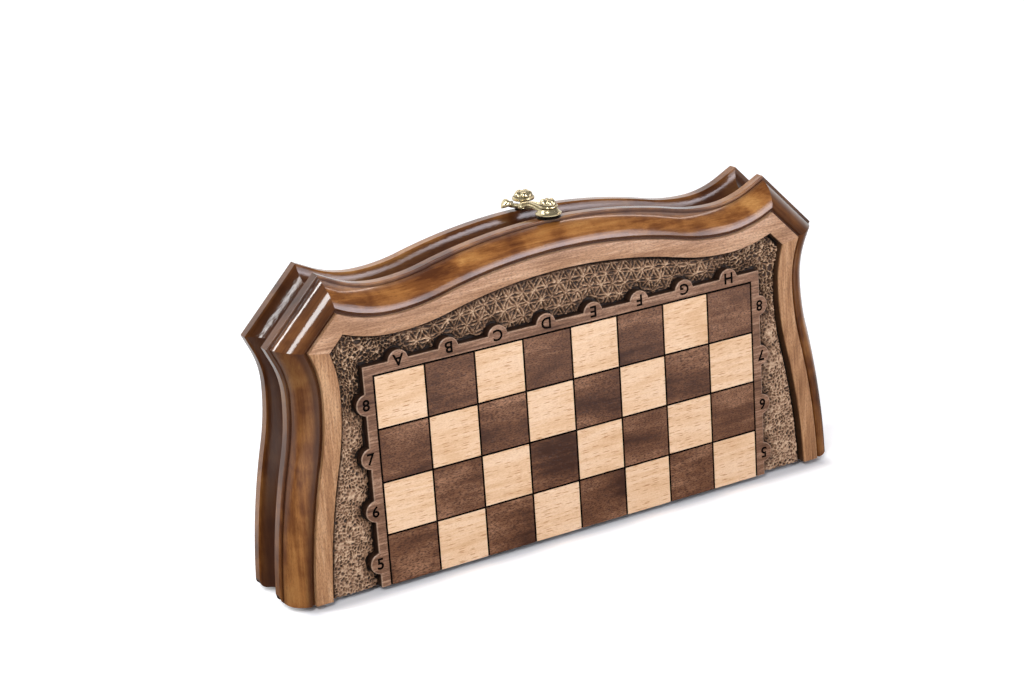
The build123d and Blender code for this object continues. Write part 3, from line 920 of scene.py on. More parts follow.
@dataclass(frozen=True)
class CarvedGround:
    """Chip-carved ground: ridges lightened by painted highlight over pits darkened by painted shade,
    black in the trench round the board by scorching and painted shadow.
    """

    name: str = "carved_ground"
    slot: str = "panel_wood"
    ridge: Rgb = (220, 188, 156)
    middle: Rgb = (142, 106, 78)
    pit: Rgb = (46, 30, 20)
    scorch: Rgb = (30, 19, 13)

    def make(self) -> bpy.types.Material:
        """Colours each point by how high it stands in the carving, with painted shade in the pits and
        painted highlight on the ridges, and by its scorching and painted shadow.

        Returns:
            The material.
        """
        s = Shader(self.name)
        place = s.place()
        grit = s.noise(place, 1.4, 4.0)
        high = s.sum(s.layer("relief"), s.swing(grit, 0.42))
        # Painted shade in the pits and painted highlight on the ridges, by the height within the
        # carving.
        colour = s.ramp(high, ((0.17, self.pit), (0.47, self.middle), (0.8, self.ridge)))
        patch = s.span(s.noise(place, 0.05, 2.0), 0.3, 0.7)
        colour = s.mix(s.times(patch, 0.12), colour, self.middle)
        colour = s.mix(s.layer("scorch"), colour, self.scorch)
        return s.finish(colour, Roughness=0.62, Normal=s.bump(grit, 0.16))


@dataclass(frozen=True)
class Metal:
    """A metal finish with a patina that gathers in the hollows, and painted shade under overhanging
    parts.
    """

    name: str
    slot: str
    bright: Rgb
    tarnish: Rgb
    tarnish_share: float = 0.5
    roughness: float = 0.24
    metallic: float = 1.0

    def make(self) -> bpy.types.Material:
        """Mixes the patina in by cloudy noise and by the piece's own hollow layer, which also carries
        painted shade.

        Returns:
            The material.
        """
        s = Shader(self.name)
        place = s.place()
        cloud = s.span(s.noise(place, 0.55, 4.0, 0.5), 0.42, 0.72)
        hollow = s.calc("MAXIMUM", s.layer("hollow"), s.times(cloud, self.tarnish_share))
        colour = s.mix(hollow, self.bright, self.tarnish)
        rough = s.span(hollow, 0.0, 1.0, (self.roughness, self.roughness + 0.25))
        scratches = s.bump(s.noise(place, 6.0), 0.012)
        return s.finish(colour, Metallic=self.metallic, Roughness=rough, Normal=scratches)


@dataclass(frozen=True)
class Plain:
    """A plain finish with a little mottling, for cloth, scorched wood and black lines."""

    name: str
    slot: str
    light: Rgb
    dark: Rgb
    scale: float = 1.0
    roughness: float = 0.85
    relief: float = 0.1
    sheen: float = 0.0
    specular: float = 0.5

    def make(self) -> bpy.types.Material:
        """Mottles two close colours by fine noise.

        Returns:
            The material.
        """
        s = Shader(self.name)
        fine = s.noise(s.place(), self.scale, 5.0)
        colour = s.mix(s.span(fine, 0.3, 0.7), self.dark, self.light)
        return s.finish(
            colour, Roughness=self.roughness, Sheen_Weight=self.sheen,
            Specular_IOR_Level=self.specular, Normal=s.bump(fine, self.relief),
        )


VARNISHED: Stops = (
    (0.3, (84, 43, 15)),
    (0.45, (128, 77, 35)),
    (0.57, (161, 106, 54)),
    (0.75, (190, 136, 76)),
)
END_GRAIN: Stops = ((0.3, (48, 24, 9)), (0.5, (94, 54, 23)), (0.72, (132, 84, 42)))
PANEL: Stops = ((0.32, (134, 94, 66)), (0.5, (184, 140, 106)), (0.68, (220, 180, 148)))
SIDE_PANEL: Stops = ((0.32, (126, 84, 52)), (0.5, (178, 131, 91)), (0.68, (214, 171, 130)))
BORDER: Stops = ((0.34, (76, 48, 33)), (0.5, (137, 99, 75)), (0.64, (187, 149, 122)))
BEECH: Stops = ((0.3, (218, 176, 134)), (0.5, (235, 199, 162)), (0.72, (244, 214, 184)))
WALNUT: Stops = ((0.34, (66, 36, 21)), (0.5, (121, 80, 54)), (0.66, (172, 126, 95)))
DARK_TURNED: Stops = ((0.2, (42, 18, 10)), (0.5, (72, 34, 20)), (0.8, (98, 52, 30)))
LIGHT_TURNED: Stops = ((0.2, (196, 148, 92)), (0.5, (222, 178, 120)), (0.8, (238, 200, 146)))
RAIL: Stops = ((0.2, (96, 60, 34)), (0.5, (132, 88, 52)), (0.8, (160, 112, 70)))


class Finishes:
    """Every finish of the case, made once and looked up by name."""

    def __init__(self) -> None:
        """Makes the materials."""
        frame_wood = {
            "slot": "frame_wood", "ring": 7.5, "ring_share": 0.07, "streak_share": 0.3,
            "fleck": (70, 36, 14), "fleck_share": 0.3, "cross_figure": 0.8, "roughness": 0.45,
            "coat": 1.0, "relief": 0.03, "grit": 0.2, "specular": 0.08, "stain": (60, 28, 11),
        }
        side = {"stops": VARNISHED, "coat_roughness": 0.12, "orange_peel": 0.03}
        corner = {"stops": END_GRAIN, "coat_roughness": 0.07, "orange_peel": 0.09}
        band_wood = {
            "ring_share": 0.08, "streak_share": 0.5, "fleck": (104, 68, 46), "fleck_share": 0.7,
            "fleck_size": (0.9, 0.15), "roughness": 0.34, "grit": 0.4, "relief": 0.08, "specular": 0.4,
        }
        kinds = [
            Wood("varnished_rail", grain=Grain.ALONG_X, **frame_wood, **side),
            Wood("varnished_stile", grain=Grain.UP_Z, **frame_wood, **side),
            Wood("varnished_left_corner", grain=Grain.LEFT_CHAMFER, **frame_wood, **corner),
            Wood("varnished_right_corner", grain=Grain.RIGHT_CHAMFER, **frame_wood, **corner),
            Wood("panel_band", "panel_wood", PANEL, **band_wood),
            Wood("panel_side_band", "panel_wood", SIDE_PANEL, Grain.UP_Z, **band_wood),
            Wood(
                "board_border", "board_wood", BORDER, ring_share=0.06, streak_share=0.54,
                fleck=(70, 44, 32), fleck_share=0.6, stain=(26, 16, 11), roughness=0.34,
                grit=0.5, relief=0.08, specular=0.4,
            ),
            Wood(
                "beech_squares", "light_squares", BEECH, ring=9.0, ring_share=0.14,
                streak_share=0.42, fleck=(186, 130, 84), fleck_share=1.0, grit=0.26,
                fleck_size=(2.3, 0.2), roughness=0.35, tile=25.0, specular=0.35,
            ),
            Wood(
                "walnut_squares", "dark_squares", WALNUT, ring=7.0, ring_share=0.04,
                streak_share=0.14, fleck=(62, 34, 21), fleck_share=0.7, fleck_size=(0.8, 0.2),
                roughness=0.32, grit=0.9, tile=25.0, relief=0.06, mottle=0.16, specular=0.5,
            ),
            Wood("hinge_rail_wood", "rail_wood", RAIL, fleck=(84, 52, 30)),
            Wood("tray_strip_wood", "tray_wood", RAIL, fleck=(84, 52, 30), coat=0.3),
            Wood("dark_turned", "dark_men", DARK_TURNED, Grain.UP_Z, 3.0, roughness=0.25, coat=0.8),
            Wood("light_turned", "light_men", LIGHT_TURNED, Grain.UP_Z, 3.0, roughness=0.25, coat=0.8),
            CarvedGround(),
            Plain("lettering", "board_wood", (12, 8, 6), (5, 3, 2), 2.0, 0.9, 0.02, specular=0.05),
            Plain("tray_cloth", "tray_felt", (74, 26, 24), (48, 14, 14), 3.0, 0.95, 0.25, 0.6),
            Metal("antique_brass", "latch_brass", (228, 212, 170), (52, 40, 24), 0.36, 0.22, 0.88),
            Metal("blackened_washer", "latch_washer", (52, 46, 40), (14, 12, 11), 0.8, 0.35),
            Metal("hinge_brass", "hinge_brass", (206, 170, 92), (120, 88, 40), 0.5, 0.3),
            Metal("screw_brass", "hinge_screw", (218, 184, 108), (120, 90, 44), 0.35, 0.26),
            Metal("pin_steel", "hinge_pin", (190, 190, 188), (110, 108, 104), 0.4, 0.3),
        ]
        self.slots = {kind.name: kind.slot for kind in kinds}
        self.materials = {kind.name: kind.make() for kind in kinds}

    def dress(self, node: str, finish: str) -> None:
        """Gives a shown CAD node a finish."""
        mesh = frame["nodes"][node].data
        mesh.materials.clear()
        mesh.materials.append(self.materials[finish])

    def piece(
        self, name: str, surface: Surface, finish: str, body: str, node: str = ""
    ) -> bpy.types.Object:
        """Puts a surface into the scene as a piece of the object.

        Args:
            name: the piece's name.
            surface: its shape in millimetres.
            finish: name of its finish.
            body: CAD body that it rides on.
            node: CAD node that it stands for, if any.

        Returns:
            The new object.
        """
        mesh = bpy.data.meshes.new(name)
        mesh.from_pydata((surface.points * MM).tolist(), [], surface.quads.tolist() + surface.caps)
        mesh.polygons.foreach_set("use_smooth", np.ones(len(mesh.polygons), bool))
        mesh.set_sharp_from_angle(angle=SHARP_ANGLE)
        for layer, values in surface.layers.items():
            attribute = mesh.attributes.new(layer, "FLOAT", "POINT")
            attribute.data.foreach_set("value", values.astype(np.float32))
        mesh.materials.append(self.materials[finish])
        piece = set_down(name, mesh)
        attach(piece, body)
        if node:
            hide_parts(node)
        log.info("%s: %d points, %d faces", name, len(mesh.vertices), len(mesh.polygons))
        return piece

    def on_half(self, half: Half, name: str, surface: Surface, finish: str, node: str) -> None:
        """Puts a surface drawn for the front half on one of the halves.

        Args:
            half: the half, whose prefix goes before both names.
            name: the piece's name.
            surface: its shape on the front half.
            finish: name of its finish.
            node: CAD node that it stands for.
        """
        node = f"{half.prefix}_{node}"
        self.piece(f"{half.prefix}_{name}", surface.on_half(half), finish, half.body, node)


# The two halves


@dataclass(frozen=True)
class FrameMoulding:
    """Five moulded lengths round each half, mitred at the corner blocks."""

    outline: Outline = Outline()
    seam_clearance: float = 0.1
    groove: float = 1.2
    panel_thickness: float = 6.8
    lip: float = 0.6
    ovolo_reach: float = 11.0
    ovolo_depth: float = 10.3
    ovolo_bulge: float = 1.9
    step_floor: float = 11.0
    flat_reach: float = 12.6
    flat_width: float = 4.8
    ledge: float = 6.0
    arris: float = 0.35
    edge_radius: float = 1.2
    foot_round: float = 4.0
    quirk_depth: float = 2.2
    # Glazing with painted shade in the groove, at the step and in the cove.
    groove_stain: float = 0.35
    step_stain: Point = (0.5, 0.35)
    cove_stain: Point = (0.56, 0.26)
    curve_points: int = 22

    @property
    def step_edge(self) -> float:
        """Depth of the outer edge of the flat band beside the ovolo, where the cove begins."""
        return self.step_floor + self.flat_width

    @property
    def seam(self) -> float:
        """Depth of the wood's back face."""
        return HALF_DEPTH - self.seam_clearance

    def ovolo(self) -> Array:
        """Points of the convex arc: turned about the centre that its chord and bulge give.

        Returns:
            The points as (outwards, depth).
        """
        top = np.array([self.groove, self.lip])
        foot = np.array([self.ovolo_reach, self.ovolo_depth])
        chord = foot - top
        size = float(np.linalg.norm(chord))
        radius = (size**2 / 4 + self.ovolo_bulge**2) / (2 * self.ovolo_bulge)
        inward = np.array([-chord[1], chord[0]]) / size
        centre = (top + foot) / 2 + inward * (radius - self.ovolo_bulge)
        swing = math.asin(size / 2 / radius)
        middle = math.atan2(-inward[1], -inward[0])
        turn = middle + np.linspace(-swing, swing, self.curve_points)
        return centre + radius * np.stack([np.cos(turn), np.sin(turn)], axis=-1)

    def rolled_edge(self) -> Array:
        """Points of the arc that turns the ovolo down into the quirk beside the flat band.

        Returns:
            The points as (outwards, depth).
        """
        radius = self.edge_radius
        turn = np.radians([0, 15, 30, 45, 60, 72])
        outward = self.groove + radius * (1 - np.cos(turn))
        return np.stack([outward, self.lip + 0.22 + radius * (1 - np.sin(turn))], axis=-1)

    def cove(self) -> Array:
        """Points of the concave quarter circle from the flat band's edge to the seam.

        Returns:
            The points as (outwards, depth).
        """
        radius = self.seam - self.step_edge
        turn = np.linspace(0, math.pi / 2, self.curve_points)
        return np.stack(
            [self.flat_reach - radius * np.sin(turn), self.seam - radius * np.cos(turn)], axis=-1
        )

    def section(self, glaze_and_shade: float = 0.5) -> Section:
        """Whole section: ledge, rabbet, rolled edge, ovolo, step, flat band, cove and back.

        Args:
            glaze_and_shade: how dark the painted shade is on the ovolo beside the quirk.

        Returns:
            The section with its staining and painted shade.
        """
        a, flat = self.arris, self.flat_reach
        ledge = [(-self.ledge, self.seam), (-self.ledge, self.panel_thickness)]
        rabbet = [(0.12, self.panel_thickness), (0.12, self.quirk_depth), (0.7, self.quirk_depth)]
        step = rounded_line(
            [
                (self.ovolo_reach, self.ovolo_depth + 0.15),
                (self.ovolo_reach - 0.25, self.step_floor + 0.15),
                (flat - a, self.step_floor),
                (flat, self.step_floor + a),
                (flat, self.step_edge - a),
            ],
            radius=0.3,
            steps=4,
        )
        profile = np.vstack([ledge, rabbet, self.rolled_edge(), self.ovolo()[3:], step, self.cove()])
        return Section(profile[:, 0], profile[:, 1], self.stain(profile, glaze_and_shade))

    def stain(self, profile: Array, glaze_and_shade: float) -> Array:
        """Darker glazing and painted shade in the groove, under the step and down in the cove, and
        painted shade on the ovolo beside the quirk.

        Args:
            profile: the section's points.
            glaze_and_shade: how dark the painted shade is on the ovolo.

        Returns:
            Staining and painted shade from 0 to 1 at each point.
        """
        outward, depth = profile[:, 0], profile[:, 1]
        in_groove = 1 - smoothstep(self.groove - 0.2, self.groove + 1.0, outward)
        beside = 1 - smoothstep(self.groove + 0.5, self.groove + 4.5, outward)
        from_step = np.hypot(outward - self.ovolo_reach, depth - self.step_floor)
        narrow, wide = self.step_stain
        at_step = narrow * bell(from_step, 0.5) + wide * bell(from_step, 2.4)
        from_edge = np.hypot(outward - self.flat_reach, depth - self.step_edge)
        edge, deep = self.cove_stain
        in_cove = edge * smoothstep(0.2, 1.6, from_edge) + deep * smoothstep(1.6, 6.0, from_edge)
        in_cove = in_cove * (depth > self.step_edge - 0.1)
        on_ovolo = depth < self.step_floor
        # Painted shade on the ovolo beside the quirk, and glazing with painted shade in the groove, at
        # the step and in the cove.
        layers = self.groove_stain * in_groove + glaze_and_shade * beside * on_ovolo + at_step + in_cove
        return np.clip(layers, 0, 0.85)

    def build(self, finishes: Finishes) -> None:
        """Sweeps the ten lengths and puts them into the scene.

        Args:
            finishes: the materials.
        """
        section = self.section()
        foot_run, corner_run, top_run = self.outline.runs(self.foot_round, self.flat_reach)
        # Painted shade: both stiles darken towards their tops, the left one much more, and the right
        # stile keeps only part of the shade beside the quirk.
        stile = swept(foot_run, self.section(0.85), 90)
        up = smoothstep(45, 125, stile.points[:, 2])
        glaze_and_shade = stile.layers["stain"]
        stile.layers["stain"] = np.clip(glaze_and_shade + 0.14 + 0.46 * up, 0, 0.88)
        right_stile = stile.mirrored(0)
        right_stile.layers = {"stain": np.clip(0.55 * glaze_and_shade + 0.1 * up, 0, 0.88)}
        chamfer = swept(corner_run, section, 12)
        chamfer.layers["stain"] = 0.82 * chamfer.layers["stain"]
        lengths = (
            ("top_rail", swept(top_run, section, 200), "varnished_rail"),
            ("left_stile", stile, "varnished_stile"),
            ("right_stile", right_stile, "varnished_stile"),
            ("left_corner_block", chamfer, "varnished_left_corner"),
            ("right_corner_block", chamfer.mirrored(0), "varnished_right_corner"),
        )
        for half in Half:
            for node, surface, finish in lengths:
                finishes.on_half(half, node + "_moulding", surface, finish, node)


@dataclass(frozen=True)
class BoardOutline:
    """Outline of the raised board: border round the grid, with a round tab at each file and rank."""

    outline: Outline = Outline()
    border: float = 4.9
    tab_radius: float = 5.0
    tab_offset: float = 4.3
    engraved_line: float = 1.0
    tab_points: int = 17

    @property
    def tab_heights(self) -> list[float]:
        """Height of the middle of each rank, from the bottom up."""
        square = self.outline.square
        top, ranks = self.outline.grid_top, self.outline.ranks
        return [top - square * (i + 0.5) for i in reversed(range(ranks))]

    @property
    def tab_columns(self) -> list[float]:
        """Place of the middle of each file, from left to right."""
        square = self.outline.square
        return [square * (i + 0.5) - self.outline.grid_half for i in range(self.outline.files)]

    def tab_arc(self) -> Array:
        """One tab as (along, out) from the grid's edge, where it stands proud of the border.

        Returns:
            The arc from one end of the tab to the other.
        """
        rise = self.border - self.tab_offset
        swing = math.acos(rise / self.tab_radius)
        turn = np.linspace(-swing, swing, self.tab_points)
        out = self.tab_offset + self.tab_radius * np.cos(turn)
        return np.stack([self.tab_radius * np.sin(turn), out], axis=-1)

    def side(self) -> tuple[Array, Array]:
        """Left edge from the bottom up: outline points, and the grid's edge beside each.

        Returns:
            Both lines, point for point.
        """
        grid, top = -self.outline.grid_half, self.outline.grid_top
        inner_x, inner_top = grid - self.engraved_line / 2, top + self.engraved_line / 2
        arc = self.tab_arc()
        outer = [np.array([[grid - self.border, self.outline.wood_bottom]])]
        outer += [np.stack([grid - arc[:, 1], height + arc[:, 0]], -1) for height in self.tab_heights]
        outer.append(np.array([[grid - self.border, top + self.border]]))
        outer = np.vstack(outer)
        inner = np.stack([np.full(len(outer), inner_x), outer[:, 1]], axis=-1)
        inner[-1, 1] = inner_top
        return outer, inner

    def top(self) -> tuple[Array, Array]:
        """Top edge between the corners: outline points, and the grid's edge below each.

        Returns:
            Both lines, point for point.
        """
        top = self.outline.grid_top
        arc = self.tab_arc()
        outer = np.vstack([np.stack([x + arc[:, 0], top + arc[:, 1]], -1) for x in self.tab_columns])
        inner = np.stack([outer[:, 0], np.full(len(outer), top + self.engraved_line / 2)], axis=-1)
        return outer, inner

    def around(self) -> tuple[Array, Array]:
        """Whole way round from the lower left to the lower right.

        Returns:
            Both lines, point for point.
        """
        outer, inner = self.side()
        sides = zip((outer, inner), self.top())
        outer, inner = (np.vstack([left, top, (left * FLIP)[::-1]]) for left, top in sides)
        return outer, inner

    def distance(self, x: Array, z: Array) -> Array:
        """How far a place is outside the board, by its border and by its nearest tab.

        Args:
            x: first coordinate in millimetres.
            z: height in millimetres.

        Returns:
            Distance in millimetres, 0 or less on the board.
        """
        square, grid, top = self.outline.square, self.outline.grid_half, self.outline.grid_top
        past_side, past_top = np.abs(x) - grid - self.border, z - top - self.border
        gap = np.hypot(np.maximum(past_side, 0), np.maximum(past_top, 0))
        middle = (np.floor(x / square) + 0.5) * square
        middle = np.clip(middle, -grid + square / 2, grid - square / 2)
        to_file = np.hypot(x - middle, z - top - self.tab_offset)
        middle = (np.floor((z - HINGE_AXIS) / square) + 0.5) * square
        middle = np.clip(middle, square / 2, top - square / 2) + HINGE_AXIS
        to_rank = np.hypot(np.abs(x) - grid - self.tab_offset, z - middle)
        return np.minimum(gap, np.minimum(to_file, to_rank) - self.tab_radius)


@dataclass(frozen=True)
class CarvedPanel:
    """Panel of each half: the flat outer band and the carved ground sunk inside it."""

    outline: Outline = Outline()
    board: BoardOutline = BoardOutline()
    thickness: float = 6.8
    fit: float = 0.1
    band_width: float = 8.1
    arris: float = 0.25
    dark_wall: float = 1.2
    floor_depth: float = 4.8
    crest_depth: float = 2.0
    pit_depth: float = 1.7
    trench_width: float = 0.75
    trench_fade: float = 0.5
    star_pitch: float = 6.4
    pit_share: float = 0.145
    ridge_width: float = 0.42
    margin: float = 2.1
    side_pitch: float = 1.65
    lace_pitch: float = 1.8
    lace_ridge: float = 0.5
    stab_pitch: float = 1.5
    stab_inset: float = 0.75
    stab_width: float = 0.5
    wander_sizes: Point = (6.0, 2.4)
    wander_reach: Point = (0.55, 0.32)
    corner_lace: Point = (74.0, 92.0)
    side_chips: Point = (30.0, 4.0)
    chip_ridge: Point = (0.26, 0.72)
    chip_patch: float = 1.9
    wall_width: float = 2.4
    pillow_width: float = 5.0
    cell: float = 0.4
    columns: int = 64
    tuck: float = 0.15
    board_tuck: float = 1.0
    corner_run: float = 7.0

    def band_section(self) -> Section:
        """Section of the band: a flat strip with eased edges, down to the panel's back.

        Returns:
            The section, stained on its inner wall.
        """
        outer, inner, back = -self.fit, -self.band_width, self.thickness
        corners = [(outer, back), (outer, 0.0), (inner, 0.0), (inner, back)]
        profile = rounded_line(corners, self.arris, steps=3)
        profile = np.insert(profile, -1, (inner, self.dark_wall), axis=0)
        outward, depth = profile[:, 0], profile[:, 1]
        # Painted shade darkening the inner wall below the band's top edge.
        wall = smoothstep(0.15, 1.0, depth) * (outward < inner + 0.05)
        return Section(outward, depth, 0.9 * wall)

    def build(self, finishes: Finishes) -> None:
        """Makes the band and the ground of both halves.

        Args:
            finishes: the materials.
        """
        section = self.band_section()
        stile, chamfer, rail = (
            swept(run, section, stations) for run, stations in zip(self.outline.runs(), (70, 6, 150))
        )
        pieces = (
            ("flat_band", joined([chamfer, rail, chamfer.mirrored(0)]), "panel_band"),
            ("side_bands", joined([stile, stile.mirrored(0)]), "panel_side_band"),
            ("carved_ground", self.ground(), "carved_ground"),
        )
        for half in Half:
            for name, surface, finish in pieces:
                finishes.on_half(half, name, surface, finish, "carved_panel")

    def outer_line(self) -> tuple[Array, Array]:
        """Outer edge of the ground, just under the band, and which length each point is on.

        Returns:
            The points, and the number of the length that each is on.
        """
        offset = self.tuck - self.band_width
        lines = []
        for run in self.outline.runs():
            first, last = (float(place[0]) for place in run.meet(np.array([offset])))
            count = max(4, int((last - first) / self.cell))
            along = np.linspace(first, last, count, endpoint=False)
            lines.append(run.path.offset(along, np.full(count, offset)))
        lines += [(lines[i] * FLIP)[::-1] for i in (1, 0)]
        marks = [np.full(len(line), i) for i, line in enumerate(lines)]
        return np.vstack(lines), np.concatenate(marks)

    def inner_line(self, marks: Array) -> Array:
        """Edge of the ground hidden under the board, shared out to the outer line's points.

        Args:
            marks: number of the length that each outer point is on.

        Returns:
            One inner point for each outer one.
        """
        half = self.outline.grid_half + self.board.border - self.board_tuck
        low, top = self.outline.wood_bottom, self.outline.grid_top + self.board.border - self.board_tuck
        rise, turn = top - low, self.corner_run
        total = 2 * rise + 2 * half
        limits = [0.0, rise - turn, rise + turn, total - rise - turn, total - rise + turn, total]
        counts = [int((marks == i).sum()) for i in range(5)]
        along = np.hstack(
            [np.linspace(limits[i], limits[i + 1], counts[i], endpoint=i == 4) for i in range(5)]
        )
        x = -half + np.clip(along - rise, 0, 2 * half)
        z = np.minimum(low + np.where(along < total / 2, along, total - along), top)
        return np.stack([x, z], axis=-1)

    def ground(self) -> Surface:
        """Carved ground, ruled between the band's edge and the board and raised by its carving.

        Returns:
            The closed ground of the front half.
        """
        outer, marks = self.outer_line()
        inner = self.inner_line(marks)
        share = np.linspace(0, 1, self.columns)[None, :, None]
        places = outer[:, None] * (1 - share) + inner[:, None] * share
        x, z = places[..., 0], places[..., 1]
        from_band = share[..., 0] * np.linalg.norm(inner - outer, axis=1)[:, None]
        grids = [x, z, *self.carving(x, z, from_band)]
        x, z, depth, relief, scorch = (np.hstack([g[:, :1], g, g[:, -1:]]) for g in grids)
        depth[:, [0, -1]] = self.thickness
        points = np.stack([x, depth - HALF_DEPTH, z], axis=-1)
        return Surface.rings(points, relief=relief, scorch=scorch)

    def carving(self, x: Array, z: Array, from_band: Array) -> tuple[Array, Array, Array]:
        """Depth of the carving at each place.

        Along the top the ridges are crossing circles that leave leaf-shaped pits between stars.
        Their rows follow a part of the crown's swell. Lower down the sides the pits are small
        irregular chips. Both are warped by slow noise, swell like a pillow, and stop at a margin
        with a row of stabs along the band and at a trench round the board. The margin is darkened
        by painted shade and the trench by scorching with painted shadow.

        Args:
            x: first coordinate in millimetres.
            z: height in millimetres.
            from_band: distance from the band's inner edge.

        Returns:
            Depth from the playing face, height within the carving from 0 to 1, and scorching with
            painted shade.
        """
        (slow, quick), (far, near) = self.wander_sizes, self.wander_reach
        drift_x, drift_z = (
            far * wandering(x, z, slow, salt) + near * wandering(x, z, quick, salt + 1)
            for salt in (1.0, 3.0)
        )
        warped = (x + 2 * drift_x, z + 2 * drift_z)
        valley = self.outline.grid_half - self.outline.valley_inset
        crown = self.outline.crown_rise - self.outline.valley_rise
        swell = crown / 2 * (1 + np.cos(math.pi * np.clip(x / valley, -1, 1)))
        stars = self.star_net(x + drift_x, z - 0.6 * swell + drift_z)
        cells = cell_edges(*warped, self.side_pitch, 11.0)
        patch = (np.floor(x / self.chip_patch), np.floor(z / self.chip_patch))
        depth_of_chip = 0.42 + 0.45 * scattered(*patch, 8.0)
        chips = 0.64 - 0.6 * smoothstep(*self.chip_ridge, cells) * depth_of_chip
        lace = cell_edges(*warped, self.lace_pitch, 5.0)
        lace = 0.85 - 0.8 * smoothstep(0.0, self.lace_ridge, lace)
        at_corner = smoothstep(*self.corner_lace, np.abs(x) + 0.4 * drift_x)
        low, high = (self.outline.grid_top - drop for drop in self.side_chips)
        low_side = 1 - smoothstep(low, high, z)
        pattern = stars * (1 - at_corner) + lace * at_corner
        pattern = pattern * (1 - low_side) + chips * low_side
        grain = (0.22 - 0.12 * low_side) * wandering(x, z, 0.7, 6.0)
        pattern = pattern + grain + (0.14 - 0.08 * low_side) * wandering(x, z, 3.0, 9.0)
        stabs = 0.5 + 0.5 * np.cos(2 * math.pi * (x + z + drift_x) / self.stab_pitch)
        stabs = stabs * bell(from_band - self.stab_inset, self.stab_width)
        at_margin = 1 - smoothstep(self.margin - 0.7, self.margin + 0.5, from_band + 0.3 * drift_x)
        pattern = np.clip(pattern * (1 - 0.9 * stabs) * (1 - 0.5 * at_margin), 0, 1)
        from_board = self.board.distance(x, z) + 0.8 * wandering(x, z, 1.6, 7.0)
        bank = smoothstep(-self.trench_fade, self.trench_fade, from_board - self.trench_width)
        wall = smoothstep(0.1, self.wall_width, from_band)
        pillow = smoothstep(0.0, self.pillow_width, from_board - self.trench_width)
        rise = bank * (0.6 + 0.4 * pillow) * (0.4 + 0.6 * wall)
        top = self.floor_depth - (self.floor_depth - self.crest_depth) * rise
        depth = np.minimum(top + self.pit_depth * (1 - pattern) * bank, self.floor_depth + 0.3)
        # Scorching with painted shadow in the trench round the board, and painted shade beside the
        # band's wall and at the margin.
        scorch = 0.9 * (1 - bank) + 0.5 * (1 - wall) * (1 - pattern) + 0.62 * at_margin
        # The relief sets the painted shade of the pits and the painted highlight of the ridges.
        relief = pattern * (0.3 + 0.7 * rise)
        return depth, relief, np.clip(scorch, 0, 1)

    def star_net(self, across: Array, down: Array) -> Array:
        """Height in a net of crossing circles, 1 on a ridge and 0 in the middle of a pit.

        Every star is the middle of a circle that runs through its six neighbours. The arcs are
        the ridges: two of them part and meet again between neighbours, round a leaf-shaped pit,
        and twelve of them meet at each star.

        Args:
            across: place along the rows.
            down: place across the rows.

        Returns:
            Height from 0 to 1.
        """
        row = self.star_pitch * math.sqrt(3) / 2
        nearest = np.full(across.shape, FAR)
        for above in range(-2, 3):
            line = np.round(down / row) + above
            shift = self.star_pitch / 2 * np.mod(line, 2)
            column = np.round((across - shift) / self.star_pitch)
            for beside in range(-2, 3):
                middle = (column + beside) * self.star_pitch + shift
                from_star = np.hypot(across - middle, down - line * row)
                nearest = np.minimum(nearest, np.abs(from_star - self.star_pitch))
        pit_reach = self.pit_share * self.star_pitch
        return 0.96 * (1 - np.clip(nearest / pit_reach, 0, 1) ** self.ridge_width)


